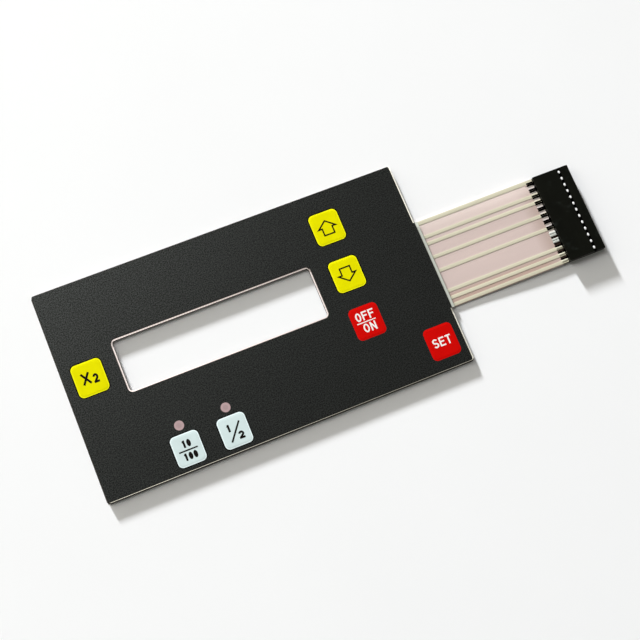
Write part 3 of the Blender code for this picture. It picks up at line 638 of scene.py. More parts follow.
def velvet_film():
    """Black print under a fine velvet texture whose sheen is speckled."""
    finish = Finish("velvet_film", roughness=0.4)
    grain = finish.noise(size=0.0005, detail=3.0, rough=0.7)
    cloud = finish.noise(size=0.014, detail=3.0)
    tone = finish.paint(colours().overlay, cloud, share=0.10)
    speck = finish.noise(size=0.0004, rough=0.7)
    lighter = scaled(colours().overlay, SPECK_SHARE)
    finish.drive("Base Color", finish.blend(finish.spread(speck, 0.0, 1.0), tone, lighter))
    finish.drive("Specular IOR Level", finish.spread(speck, low=0.14, high=1.1, start=0.37, end=0.63))
    finish.shader.inputs["Specular Tint"].default_value = VELVET_TINT
    finish.vary("Roughness", grain, low=0.28, high=0.43)
    finish.relief(grain, height=0.000036)
    return finish.material


def plain_ink(name, base, roughness, specular):
    """Narrow printed or cut border of the front film."""
    finish = Finish(name, roughness, specular=specular)
    grain = finish.noise(size=0.0003)
    finish.paint(base, grain, share=0.15)
    finish.relief(grain, height=0.000006)
    return finish.material


def key_ink(name, base):
    """Coloured print of a key under the same velvet texture."""
    finish = Finish(name, roughness=0.5, specular=0.04)
    grain = finish.noise(size=0.00028, detail=3.0, rough=0.65)
    cloud = finish.noise(size=0.004)
    finish.paint(base, cloud, share=0.035)
    finish.vary("Roughness", grain, low=0.40, high=0.55)
    finish.relief(grain, height=0.000012)
    return finish.material


def legend_ink(name, base):
    """Screen ink of the legends, with a slightly uneven surface."""
    finish = Finish(name, roughness=0.5, specular=0.15)
    grain = finish.noise(size=0.00012)
    finish.paint(base, grain, share=0.08)
    finish.relief(grain, height=0.000004)
    return finish.material


def lamp_window(name, share):
    """Clear film over an indicator, with a rosy tint of which the core keeps a share."""
    finish = Finish(name, roughness=0.3, alpha=0.75)
    grain = finish.noise(size=0.0003)
    finish.paint(scaled(colours().lamp, share), grain, share=0.05)
    finish.relief(grain, height=0.000006)
    return finish.material


def spacer_film():
    """Adhesive-coated polyester film with faint clouds and drawing lines, darkened as painted shade."""
    finish = Finish("spacer_film", roughness=0.45)
    cloud = finish.noise(size=0.006, detail=3.0)
    finish.paint(colours().spacer, cloud, share=0.03)
    finish.vary("Roughness", cloud, low=0.3825, high=0.5175)
    finish.relief(finish.noise(size=0.0012, detail=3.0), height=0.000008)
    return finish.material


def retainer_film():
    """Clear film, rosy over the spacer and cooler where it leaves the panel, with painted light glowing in
    its ledges.
    """
    finish = Finish("retainer_film", roughness=0.35)
    across, along = finish.position()[:2]
    cloud = finish.noise(size=0.006, detail=3.0)
    tone = finish.paint(colours().retainer, cloud, share=0.03)
    margin, soft = sizes().panel_corner, sizes().edge_round
    side, foot = PANEL_HIGH.x - margin, PANEL_LOW.y + margin
    tone = finish.blend(finish.rise(across, side, soft), tone, colours().outer_film)
    tone = finish.blend(finish.fall(along, foot, soft), tone, colours().outer_film)
    tone = finish.blend(finish.rise(across, PANEL_HIGH.x - soft, 2 * soft), tone, colours().root_film)
    finish.drive("Base Color", tone)
    # Painted light: the film glows in its own tint, most at the window's left and upper ledges and the outer
    # edges
    finish.drive("Emission Color", tone)
    left, _, right, top = display_box()
    painted_glow = finish.spread(across, LEFT_PAINTED_GLOW, RIGHT_PAINTED_GLOW, left, right)
    painted_glow = finish.combine("ADD", painted_glow, finish.rise(along, top - soft, soft, UPPER_PAINTED_GLOW))
    painted_glow = finish.combine("ADD", painted_glow, finish.rise(across, side, soft, OUTER_PAINTED_GLOW))
    painted_glow = finish.combine("ADD", painted_glow, finish.fall(along, foot, soft, LOWER_PAINTED_GLOW))
    finish.drive("Emission Strength", painted_glow)
    finish.relief(finish.noise(size=0.0012, detail=3.0), height=0.000008)
    return finish.material


def insulating_print():
    """Cream screen print over the tail's tracks, whose tone differs a little from strip to strip."""
    finish = Finish("insulating_print", roughness=0.5, specular=0.25)
    grain = finish.noise(size=0.0003)
    broad = finish.noise(size=0.0021, detail=1.0, stretch=(0.04, 1.0, 1.0))
    finish.paint(colours().tail_print, broad, share=0.07)
    finish.relief(grain, height=0.00001)
    return finish.material


def silver_ink():
    """Printed silver with fine flakes, under varnish at the crimps."""
    finish = Finish("silver_ink", roughness=0.42)
    flakes = finish.cells(size=0.00006)
    tone = finish.paint(colours().silver, flakes, share=0.10)
    varnish = finish.rise(finish.position()[0], tail_level_from(), sizes().edge_round)
    finish.drive("Base Color", finish.blend(varnish, tone, colours().tail_end))
    finish.drive("Metallic", finish.fall(varnish, start=0.0, stretch=1.0, level=0.8))
    finish.relief(flakes, height=0.000006)
    return finish.material


def adhesive(name, base):
    """Adhesive layer whose cut edge shows fine pores, darkened as painted shade on that edge."""
    finish = Finish(name, roughness=0.6)
    pores = finish.cells(size=0.00012)
    finish.paint(base, pores, share=0.10)
    finish.relief(pores, height=0.00001)
    return finish.material


def liner_paper():
    """Siliconised paper with faint fibres and painted shade on its cut edge."""
    finish = Finish("liner_paper", roughness=0.55)
    fibres = finish.noise(size=0.0008, detail=5.0, stretch=(1.0, 0.22, 1.0), rough=0.7)
    cloud = finish.noise(size=0.009, detail=4.0)
    tone = finish.paint(colours().liner, cloud, share=0.03)
    fleck = finish.spread(fibres, low=0.0, high=0.6, start=0.5, end=0.75)
    tone = finish.blend(fleck, tone, scaled(colours().liner, FIBRE_SHARE))
    # Painted shade on the cut edge, above the liner's back face
    cut = finish.rise(finish.position()[2], LINER_FACE, LINER_FACE)
    finish.drive("Base Color", finish.blend(cut, tone, colours().wall_painted_shade))
    finish.relief(fibres, height=0.00002)
    return finish.material


def moulded_black():
    """Black moulded plastic with flow marks, rubbed places and a band of painted shade along the windows."""
    finish = Finish("moulded_black", roughness=0.4)
    grain = finish.noise(size=0.00018, detail=3.0, rough=0.6)
    flow = finish.noise(size=0.004, detail=3.0, stretch=(1.0, 0.3, 1.0))
    tone = finish.paint(colours().housing, flow, share=0.3)
    wear = finish.noise(size=0.005, detail=5.0, stretch=(1.0, 1.6, 1.0), rough=0.65)
    rubbed = finish.spread(wear, low=0.0, high=0.3, start=0.58, end=0.75)
    tone = finish.blend(rubbed, tone, colours().rubbed)
    # Painted shade: deeper black without sheen along the row of locking windows
    across = finish.position()[0]
    row = HOUSING_HIGH.x - sizes().window_from_end
    half, soft = sizes().window_row_painted_shade / 2, sizes().edge_round
    after = finish.rise(across, row - half, soft)
    before = finish.fall(across, row + half - soft, soft)
    band = finish.combine("MULTIPLY", after, before)
    finish.drive("Base Color", finish.blend(band, tone, BLACK))
    finish.drive("Specular IOR Level", finish.spread(band, low=0.25, high=0.02, start=0.0, end=1.0))
    finish.vary("Roughness", grain, low=0.32, high=0.45)
    finish.relief(grain, height=0.000014)
    return finish.material


def tinned_metal(name, base, metallic=0.0, specular=0.3):
    """Tin-plated contact metal with drawing lines along the strip."""
    finish = Finish(name, roughness=0.48, metallic=metallic, specular=specular)
    lines = finish.noise(size=0.0001, detail=3.0, stretch=(0.06, 1.0, 1.0))
    cloud = finish.noise(size=0.0007)
    finish.paint(base, cloud, share=0.08)
    finish.vary("Roughness", lines, low=0.384, high=0.624)
    finish.relief(lines, height=0.000002)
    return finish.material


def spring_steel():
    """Bright rolled steel of the domes."""
    finish = Finish("spring_steel", roughness=0.25, metallic=1.0)
    lines = finish.noise(size=0.0002, detail=3.0, stretch=(0.05, 1.0, 1.0))
    finish.paint(colours().steel, lines, share=0.05)
    finish.vary("Roughness", lines, low=0.2, high=0.34)
    finish.relief(lines, height=0.000003)
    return finish.material


def studio_floor():
    """Pale matt floor with a barely visible unevenness."""
    finish = Finish("studio_floor", roughness=0.75, specular=0.2)
    cloud = finish.noise(size=0.09, detail=4.0)
    finish.paint(colours().floor, cloud, share=0.008)
    return finish.material


def overlay_rise(x, y):
    """Height of the raised keys over a point of the front film."""
    height = OVERLAY_HIGH.z - OVERLAY_LOW.z - sizes().overlay_thickness
    deepest = max(inset_of(x, y, key_box(name), sizes().key_corner) for name in KEY_NAMES)
    return height * smooth_step(deepest / sizes().emboss_run)


def overlay_edge_drop(x, y):
    """How much the front film's cut edge is rounded down at a point."""
    reach = ROUNDED_REACH * sizes().edge_round
    inside = max(inset_of(x, y, overlay_box(), sizes().front_corner), inset_of(x, y, tab_box(), 0.0))
    margin = sizes().display_ledge
    window = -inset_of(x, y, display_box(margin), sizes().display_corner + margin)
    return sizes().edge_round * (1 - smooth_step(min(inside, window) / reach))


def overlay_field(point, normal):
    """Name of the printed colour at a point of the front film."""
    size = sizes()
    if normal.z < PRINTED_LEVEL or overlay_edge_drop(point.x, point.y) > 0:
        return "cut_edge"
    for name in KEY_NAMES:
        inset = inset_of(point.x, point.y, key_box(name), size.key_corner)
        if inset > 0:
            ink = "yellow" if name in YELLOW_KEYS else "red" if name in RED_KEYS else "pale"
            # Painted highlight: the rim of a yellow or pale key takes a lighter ink
            return ink + "_rim" if inset < size.key_rim and ink != "red" else ink + "_ink"
        # Painted shade: a black line just outside a yellow or pale key
        if inset > -size.key_painted_shade_ring and name not in RED_KEYS:
            return "painted_shade_ring"
    for x, y in lamp_centres():
        reach = math.hypot(point.x - x, point.y - y)
        if reach < size.lamp_diameter / 2:
            return "lamp_core" if reach < size.lamp_core / 2 else "lamp_window"
    return "velvet_film"


def build_front_film():
    """Printed front film with raised keys, lamp windows and rounded cut edges."""
    size = sizes()
    margin = size.display_ledge
    window_corner = size.display_corner + margin
    creases = [circle(x, y, size.lamp_diameter) for x, y in lamp_centres()]
    creases += [circle(x, y, size.lamp_core) for x, y in lamp_centres()]
    for reach in (ROUNDED_REACH * size.edge_round, LEDGE_REACH * size.edge_round):
        creases.append(rounded(overlay_box(reach), size.front_corner - reach))
        creases.append(rectangle(tab_box(reach)))
        creases.append(rounded(display_box(margin + reach), window_corner + reach))
    for name in KEY_NAMES:
        insets = [size.emboss_run * i / PROFILE_STEPS for i in range(PROFILE_STEPS + 2)]
        for inset in insets + [size.key_rim, -size.key_painted_shade_ring]:
            creases.append(rounded(key_box(name, inset), size.key_corner - inset))
    mesh = sheet_mesh(
        "front_film",
        [rounded(overlay_box(), size.front_corner), rectangle(tab_box())],
        [rounded(display_box(margin), window_corner)],
        creases,
        lambda x, y: OVERLAY_LOW.z + overlay_rise(x, y),
        lambda x, y: OVERLAY_LOW.z + size.overlay_thickness + overlay_rise(x, y) - overlay_edge_drop(x, y),
    )
    paints = colours()
    inks = [
        velvet_film(),
        key_ink("yellow_ink", paints.yellow),
        key_ink("yellow_rim", paints.yellow_rim),
        key_ink("red_ink", paints.red),
        key_ink("pale_ink", paints.pale),
        key_ink("pale_rim", paints.pale_rim),
        plain_ink("painted_shade_ring", paints.painted_shade_ring, roughness=0.6, specular=0.1),
        plain_ink("cut_edge", paints.cut_edge, roughness=0.5, specular=0.3),
        lamp_window("lamp_window", 1.0),
        lamp_window("lamp_core", CORE_SHARE),
    ]
    piece = add_piece("front_film", mesh, inks, ["graphic_overlay"])
    numbers = {ink.name: i for i, ink in enumerate(inks)}
    for face in piece.data.polygons:
        face.material_index = numbers[overlay_field(face.center, face.normal)]


def glyph(letter, width):
    """Strokes of a letter or digit one unit high, and the outline of its bowl if it is a closed oval."""
    half = width / 2
    stem = [(0.0, 0.0), (0.0, 1.0)]
    base = [(0.0, 0.0), (width, 0.0)]
    head = [(0.0, 1.0), (width, 1.0)]
    arm = [(0.0, 0.52), (0.85 * width, 0.52)]
    if letter in "0O":
        return [], [(half, 0.5, half, 0.5)]
    strokes = {
        "1": [[(0.1 * width, 0.76), (0.65 * width, 1.0)], [(0.65 * width, 0.0), (0.65 * width, 1.0)]],
        "2": [bow(half, 0.7, half, 0.3, 172, -38) + [(0.0, 0.02)], base],
        "E": [stem, base, head, arm],
        "F": [stem, head, arm],
        "N": [stem, [(0.0, 1.0), (width, 0.0)], [(width, 0.0), (width, 1.0)]],
        "S": [bow(half, 0.75, half, 0.25, 25, 270), bow(half, 0.25, half, 0.25, 90, -155)],
        "T": [head, [(half, 0.0), (half, 1.0)]],
        "x": [[(0.0, 0.0), (width, 1.0)], [(0.0, 1.0), (width, 0.0)]],
    }
    return strokes[letter], []


def squared(line, reach):
    """Upright or level stroke drawn out at both ends, any other stroke as it is."""
    (x, y), (end_x, end_y) = line[0], line[-1]
    if len(line) == 2 and x == end_x:
        return [(x, y - reach), (x, end_y + reach)]
    if len(line) == 2 and y == end_y:
        return [(x - reach, y), (end_x + reach, y)]
    return line


def words(text, left, base, height, letter_width, gap, stroke):
    """Filled regions and holes of a row of letters. The height and widths include the stroke."""
    regions = []
    holes = []
    half = stroke / 2
    scale = height - stroke
    origin_y = base + half
    for i, letter in enumerate(text):
        origin_x = left + half + i * (letter_width + gap)
        lines, ovals = glyph(letter, (letter_width - stroke) / scale)
        for line in lines:
            placed = [(origin_x + x * scale, origin_y + y * scale) for x, y in line]
            regions.append(ribbon(squared(placed, half), stroke))
        for x, y, across, along in ovals:
            centre = (origin_x + x * scale, origin_y + y * scale)
            regions.append(oval(*centre, across * scale + half, along * scale + half))
            holes.append(oval(*centre, across * scale - half, along * scale - half))
    return regions, holes


def bar(left, y, right, end_y, stroke):
    """Region of one straight stroke."""
    return [ribbon([(left, y), (right, end_y)], stroke)], []


def arrow(upward, stroke):
    """Outline arrow drawn as a closed stroke. It points up where upward is 1 and down where it is -1."""
    head_half = 3.2 * MM
    head_height = 2.6 * MM
    stem_half = 1.9 * MM
    stem_length = 2.6 * MM
    line = [
        (0.0, head_height),
        (-head_half, 0.0),
        (-stem_half, 0.0),
        (-stem_half, -stem_length),
        (stem_half, -stem_length),
        (stem_half, 0.0),
        (head_half, 0.0),
    ]
    outer = offset_loop(line, stroke / 2)
    inner = offset_loop(line, -stroke / 2)
    turned = [[(x, y * upward) for x, y in loop][::upward] for loop in (outer, inner)]
    return turned[:1], turned[1:]


def legend_shapes(name):
    """Regions and holes of a key's legend, with the key's centre as origin.

    Each row of letters is given by its left, base, height, letter width, gap and stroke.
    """
    stroke = sizes().letter_stroke if name in RED_KEYS else sizes().dark_stroke
    thin = RULE_SHARE * stroke
    small = SMALL_SHARE * stroke
    if name in ("up", "down"):
        return [arrow(1 if name == "up" else -1, sizes().arrow_stroke)]
    if name == "left":
        return [
            words("x", -3.0 * MM, -2.15 * MM, 4.75 * MM, 3.4 * MM, 0.0, stroke),
            words("2", 1.0 * MM, -2.3 * MM, 3.3 * MM, 1.9 * MM, 0.0, stroke),
        ]
    if name == "clear":
        return [
            words("OFF", -3.5 * MM, 0.75 * MM, 3.2 * MM, 2.0 * MM, 0.45 * MM, stroke),
            bar(-3.8 * MM, 0.1 * MM, 3.2 * MM, 0.1 * MM, thin),
            words("ON", -2.2 * MM, -3.7 * MM, 3.2 * MM, 2.1 * MM, 0.5 * MM, stroke),
        ]
    if name == "enter":
        return [words("SET", -3.4 * MM, -1.6 * MM, 3.3 * MM, 2.0 * MM, 0.45 * MM, stroke)]
    if name == "units":
        return [
            words("10", -1.6 * MM, 0.7 * MM, 2.6 * MM, 1.45 * MM, 0.3 * MM, small),
            bar(-3.4 * MM, -0.3 * MM, 3.3 * MM, -0.3 * MM, thin),
            words("100", -2.4 * MM, -3.7 * MM, 2.6 * MM, 1.45 * MM, 0.3 * MM, small),
        ]
    return [
        words("1", -2.5 * MM, 0.1 * MM, 2.6 * MM, 1.4 * MM, 0.0, small),
        bar(-2.3 * MM, -3.5 * MM, 2.5 * MM, 2.8 * MM, SLASH_SHARE * stroke),
        words("2", 0.7 * MM, -3.4 * MM, 2.7 * MM, 2.0 * MM, 0.0, small),
    ]


def build_legends():
    """Printed legends on the raised keys."""
    dark = legend_ink("dark_ink", colours().dark_ink)
    white = legend_ink("white_ink", colours().white_ink)
    ink_z = OVERLAY_HIGH.z
    for name in KEY_NAMES:
        x, y = KEY_CENTRES[name]
        regions = []
        holes = []
        for made_regions, made_holes in legend_shapes(name):
            regions += made_regions
            holes += made_holes
        mesh = sheet_mesh(
            "legend_" + name,
            regions,
            holes,
            [],
            lambda across, along: ink_z,
            lambda across, along: ink_z + sizes().ink_thickness,
        )
        ink = white if name in RED_KEYS else dark
        add_piece("legend_" + name, mesh, [ink], location=(x, y, 0))


def tail_level_from():
    """X where the tail has risen to the height of the crimps."""
    return HOUSING_LOW.x - sizes().crimp_length - sizes().climb_to_crimp


def tail_lift(x):
    """Height that the tail gains between the panel and the connector."""
    rise = FILM_HIGH.z - FILM_LOW.z - sizes().film_thickness
    return rise * smooth_step((x - RETAINER_HIGH.x) / (tail_level_from() - RETAINER_HIGH.x))


def film_top(x):
    """Height of the circuit film's upper face."""
    return FILM_LOW.z + sizes().film_thickness + tail_lift(x)


def tail_stations(start, end):
    """X of stations along the tail between two ends."""
    return [start + (end - start) * i / TAIL_STEPS for i in range(TAIL_STEPS + 1)]


def strip_sides(position):
    """Lower and upper side of a printed strip. The first strip reaches up to the tail's edge."""
    size = sizes()
    room = HOUSING_HIGH.y - HOUSING_LOW.y - 2 * size.strip_to_edge - size.strip_width
    steps = len(CONTACT_NAMES) - 1
    middle = tail_middle() + (steps / 2 + 1 - position) * room / steps
    upper = HOUSING_HIGH.y - size.top_margin if position == 1 else middle + size.strip_width / 2
    return middle - size.strip_width / 2, upper


def strip_height():
    """Height of the printed strips over the circuit film."""
    return PRINT_HIGH.z - FILM_HIGH.z


def build_tail_print():
    """Crowned strips printed over the tail's tracks, with a band at the root under the front film."""
    size = sizes()
    bm = bmesh.new()
    stations = tail_stations(PANEL_HIGH.x, tail_level_from())
    stations.append(HOUSING_LOW.x - size.print_to_housing)
    for position in PRINTED_POSITIONS:
        lower, upper = strip_sides(position)
        middle, half = (lower + upper) / 2, (upper - lower) / 2
        rows = []
        for x in stations:
            z = film_top(x)
            row = [(x, middle - half, z)]
            for i in range(CROWN_STEPS + 1):
                share = 2 * i / CROWN_STEPS - 1
                crown = PRINT_SIDE + (1 - PRINT_SIDE) * (1 - abs(share) ** CROWN_POWER)
                row.append((x, middle + half * share, z + PRINT_SHARE * strip_height() * crown))
            row.append((x, middle + half, z))
            rows.append(row)
        loft(bm, rows, True)
    corners = rectangle((PRINT_LOW.x, PRINT_LOW.y, PANEL_HIGH.x, PRINT_HIGH.y))
    band_foot = film_top(PRINT_LOW.x)
    band_top = band_foot + BAND_SHARE * strip_height()
    loft(bm, [[(x, y, z) for x, y in corners] for z in (band_foot, band_top)], True)
    bmesh.ops.recalc_face_normals(bm, faces=bm.faces[:])
    mesh = finished_mesh("tail_print", bm)
    add_piece("tail_print", mesh, [insulating_print()], ["tail_insulation"])


def build_film_layers():
    """Finishes of the laminated films, adhesives and domes."""
    dress("dome_retainer", retainer_film())
    dress("dome_spacer", spacer_film())
    dress("overlay_adhesive", adhesive("clear_adhesive", colours().clear_adhesive))
    dress("rear_adhesive", adhesive("dark_adhesive", colours().dark_adhesive))
    dress("release_liner", liner_paper())
    steel = spring_steel()
    silver = silver_ink()
    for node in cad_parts:
        if node.startswith("dome_") and node[5:] in KEY_NAMES:
            dress(node, steel)
        if node.startswith("track_"):
            dress(node, silver)


def tail_film():
    """Circuit film darker towards the crimps, with painted light at its upper side and painted shade below.
    """
    size = sizes()
    paints = colours()
    stretch = (0.15, 1.0, 1.0)
    finish = Finish("circuit_film", roughness=0.38, alpha=0.8, specular=0.25)
    cloud = finish.noise(size=0.006, detail=3.0, stretch=stretch)
    tone = finish.paint(paints.tail, cloud, share=0.03)
    across, along = finish.position()[:2]
    soft = size.edge_round
    quarter = (HOUSING_HIGH.y - HOUSING_LOW.y) / 4
    # Painted shade towards the tail's lower side
    foot = finish.fall(along, HOUSING_LOW.y + quarter / 2, quarter / 4)
    tone = finish.blend(foot, tone, paints.tail_foot_painted_shade)
    end = finish.rise(across, tail_level_from() - TINT_BEFORE_CRIMP, TINT_BEFORE_CRIMP)
    tone = finish.blend(end, tone, paints.tail_end)
    # Painted light towards the tail's upper side
    top = finish.rise(along, tail_middle() + quarter, quarter)
    tone = finish.blend(top, tone, paints.tail_top_painted_light)
    # Painted light between the used crimps and painted shade between the unused ones
    unused = finish.fall(along, contact_y(BRIGHT_POSITIONS[0]), soft)
    crimp_gaps_painted_light_and_shade = finish.blend(unused, paints.crimp_gap_painted_light, paints.crimp_gap_painted_shade)
    crimps_from = HOUSING_LOW.x - size.crimp_length + TINT_PAST_CRIMP
    tone = finish.blend(finish.rise(across, crimps_from, soft), tone, crimp_gaps_painted_light_and_shade)
    # Painted shade on the film's cut edges inside the panel
    inside = finish.fall(across, PANEL_HIGH.x - TINT_IN_PANEL, soft)
    finish.drive("Base Color", finish.blend(inside, tone, paints.wall_painted_shade))
    finish.vary("Roughness", cloud, low=0.34, high=0.42)
    finish.relief(finish.noise(size=0.0012, detail=3.0, stretch=stretch), height=0.000008)
    return finish.material


def build_circuit_film():
    """Translucent circuit film with its tail in one smooth sweep and slots for the crimps' walls."""
    size = sizes()
    inner = (size.crimp_width - size.sheet) / 2 - size.slot_clearance
    outer = (size.crimp_width + size.sheet) / 2 + size.slot_clearance
    start = HOUSING_LOW.x - size.crimp_length - size.slot_clearance
    slots = []
    for position in range(1, len(CONTACT_NAMES) + 1):
        y = contact_y(position)
        slots.append(rectangle((start, y - outer, FILM_HIGH.x + size.sheet, y - inner)))
        slots.append(rectangle((start, y + inner, FILM_HIGH.x + size.sheet, y + outer)))
    root_x = PANEL_HIGH.x - size.panel_corner
    panel_box = (PANEL_LOW.x, PANEL_LOW.y, PANEL_HIGH.x, PANEL_HIGH.y)
    ends = tail_stations(root_x, FILM_HIGH.x)
    tail = [rectangle((near, HOUSING_LOW.y, far, HOUSING_HIGH.y)) for near, far in zip(ends, ends[1:])]
    mesh = sheet_mesh(
        "circuit_film",
        [rounded(panel_box, size.panel_corner)] + tail,
        [rounded(display_box(), size.display_corner)] + slots,
        [],
        lambda x, y: FILM_LOW.z + tail_lift(x),
        lambda x, y: film_top(x),
    )
    add_piece("circuit_film_tail", mesh, [tail_film()], ["circuit_film"])


def folded_strip(x, z, half_width, height, lip=0.0, curl=0.0):
    """Section of a folded sheet on its middle line, from lip to lip. Without lips it is open."""
    corner = min(half_width, height) * CORNER_SHARE
    if lip > 0:
        side = bow(-half_width + lip / 2, height - curl, lip / 2, curl, 0, 180)
    else:
        open_wall = (height - corner) * WALL_SHARE
        side = [(-half_width, height - open_wall * i / BOW_STEPS) for i in range(BOW_STEPS + 1)]
    side += bow(-half_width + corner, corner, corner, corner, 180, 270, BOW_STEPS // 2)
    profile = side + [(-y, level) for y, level in side[::-1]]
    return [(x, y, z + level) for y, level in profile]


def contact_mesh(crimp_width):
    """Contact folded from sheet: rolled crimp over the film, open neck, box socket for a square pin."""
    size = sizes()
    crimp_half = crimp_width / 2
    socket_half = size.socket_width / 2
    floor_z = CONTACT_BOXES[0][0].z + size.sheet / 2
    crimp_lip = crimp_half - (size.seam + size.sheet) / 2
    socket_lip = socket_half - (size.seam + size.sheet) / 2
    crimp_curl = size.crimp_height * CRIMP_CURL
    socket_curl = size.sheet * SOCKET_CURL
    end = size.sheet * END_SHARE
    crimp_from = -size.crimp_length + size.sheet / 2
    crimp_to = -size.crimp_to_housing
    socket_to = HOUSING_HIGH.x - HOUSING_LOW.x - size.socket_to_end
    socket_from = socket_to - size.socket_length
    neck_from = socket_from - size.socket_taper
    rows = []
    for x in (crimp_from, crimp_from + end, crimp_to - end, crimp_to):
        rows.append(folded_strip(x, floor_z, crimp_half, size.crimp_height, crimp_lip, crimp_curl))
    for x in (0.0, neck_from):
        rows.append(folded_strip(x, floor_z, crimp_half, size.neck_height))
    for x in (socket_from, socket_to):
        rows.append(folded_strip(x, floor_z, socket_half, size.socket_width, socket_lip, socket_curl))
    bm = bmesh.new()
    loft(bm, rows, False)
    return finished_mesh("contact", bm)


def dimple_mesh():
    """Oval dimple pressed up out of the socket, which locks in the housing's window."""
    size = sizes()
    top = HOUSING_HIGH.z - size.tang_depth
    foot = CONTACT_BOXES[0][1].z
    crown = size.tang_length * CROWN_SHARE
    rim = oval(0.0, 0.0, size.tang_length / 2, size.tang_width / 2)
    rows = [[(x, y, foot) for x, y in rim]]
    for i in range(PROFILE_STEPS + 1):
        turn = math.pi / 2 * i / (PROFILE_STEPS + 1)
        share = math.cos(turn)
        rows.append([(x * share, y * share, top - crown + crown * math.sin(turn)) for x, y in rim])
    bm = bmesh.new()
    loft(bm, rows, True)
    bmesh.ops.recalc_face_normals(bm, faces=bm.faces[:])
    return finished_mesh("dimple", bm)


def build_contacts():
    """Thirteen folded contacts and the dimples that lock them in the housing's windows."""
    size = sizes()
    # Painted reflections: bright, cream and black copies of one tin
    bright = tinned_metal("bright_tin_painted_reflection", colours().tin, metallic=0.15)
    pale = tinned_metal("pale_tin_painted_reflection", colours().pale_tin_painted_reflection)
    painted_dark = tinned_metal("dark_tin_painted_reflection_and_shade", colours().dark_tin_painted_reflection_and_shade, specular=0.1)
    # Painted highlight of the tin dimples
    painted_highlight = tinned_metal("dimple_painted_highlight", colours().dimple)
    plain = contact_mesh(size.crimp_width)
    wide = contact_mesh(size.wide_crimp)
    dimple = dimple_mesh()
    for position, node in enumerate(CONTACT_NAMES, 1):
        y = contact_y(position)
        mesh = wide if position in BRIGHT_POSITIONS else plain
        tin = bright if position in BRIGHT_POSITIONS else pale if position in PALE_POSITIONS else painted_dark
        name, place = f"crimp_{position:02d}", (HOUSING_LOW.x, y, 0)
        piece = add_piece(name, mesh.copy(), [tin, painted_dark], [node], place)
        if tin is not painted_dark:
            # The stretch in the housing and the upper half of a pale crimp take the black tin as painted
            # shade
            for face in piece.data.polygons:
                shaded = tin is pale and face.center.y > 0
                face.material_index = 1 if shaded or face.center.x > 0 else 0
        sheet = piece.modifiers.new("sheet", "SOLIDIFY")
        sheet.thickness = size.sheet
        sheet.offset = 0.0
        name, place = f"dimple_{position:02d}", (HOUSING_HIGH.x - size.window_from_end, y, 0)
        add_piece(name, dimple, [painted_highlight], location=place)


def build_housing():
    """Finish of the moulded housing, with softened edges."""
    dress("connector_housing", moulded_black())
    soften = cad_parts["connector_housing"].modifiers.new("soft_edges", "BEVEL")
    soften.width = sizes().housing_round
    soften.segments = SOFTENED_STEPS
    soften.limit_method = "ANGLE"
    soften.angle_limit = SOFTENED_ANGLE


# Camera and light, from the fit to the object's corners and its shadows. Angles are in degrees.
CAMERA_LOCATION = (-0.0828, -0.09711, 0.45165)
CAMERA_TURN = (14.081, -4.374, -22.416)
CAMERA_LENS = 75.04
CAMERA_SENSOR = 36.0
CAMERA_NEAR = 0.01
CAMERA_FAR = 20.0
SUN_ELEVATION = 12.5
SUN_AZIMUTH = 98.0
SUN_DIAMETER = 5.0
SUN_STRENGTH = 8.3
SUN_COLOUR = (0.945, 0.965, 1.0)
SOFTBOX_ELEVATION = 56.0
SOFTBOX_AZIMUTH = 112.0
SOFTBOX_SIZE = 0.88
SOFTBOX_POWER = 6.0
FILL_ELEVATION = 22.0
FILL_AZIMUTH = 134.0
FILL_SIZE = 1.3
FILL_POWER = 13.0
FILL_COLOUR = (1.0, 0.98, 0.89)
LIGHT_DISTANCE = 1.6
LOWEST_REFLECTED = 40.0
AMBIENT_COLOUR = (1.0, 0.98, 0.89)
HORIZON_LEVEL = 0.38
ZENITH_LEVEL = 0.02
FLOOR_SIZE = 12.0
FLOOR_DROP = 0.00001


def direction(azimuth, elevation):
    """Unit vector towards a light."""
    turn = math.radians(azimuth)
    lift = math.radians(elevation)
    return Vector((math.cos(turn) * math.cos(lift), math.sin(turn) * math.cos(lift), math.sin(lift)))


def add_light(name, kind, azimuth, elevation, power, tint=(1.0, 1.0, 1.0)):
    """Light that shines on the object. The low lights leave no mirror image in glossy faces."""
    data = bpy.data.lights.new(name, kind)
    data.energy = power
    data.color = tint
    light = bpy.data.objects.new(name, data)
    towards = direction(azimuth, elevation)
    light.location = towards * LIGHT_DISTANCE
    light.rotation_euler = towards.to_track_quat("Z", "Y").to_euler()
    light.visible_glossy = elevation > LOWEST_REFLECTED
    bpy.context.scene.collection.objects.link(light)
    return data


def build_floor():
    """Pale floor just under the part."""
    bm = bmesh.new()
    bmesh.ops.create_grid(bm, x_segments=FLOOR_CELLS, y_segments=FLOOR_CELLS, size=FLOOR_SIZE / 2)
    mesh = finished_mesh("studio_floor", bm)
    mesh.materials.append(studio_floor())
    piece = bpy.data.objects.new("studio_floor", mesh)
    piece.location.z = -FLOOR_DROP
    bpy.context.scene.collection.objects.link(piece)


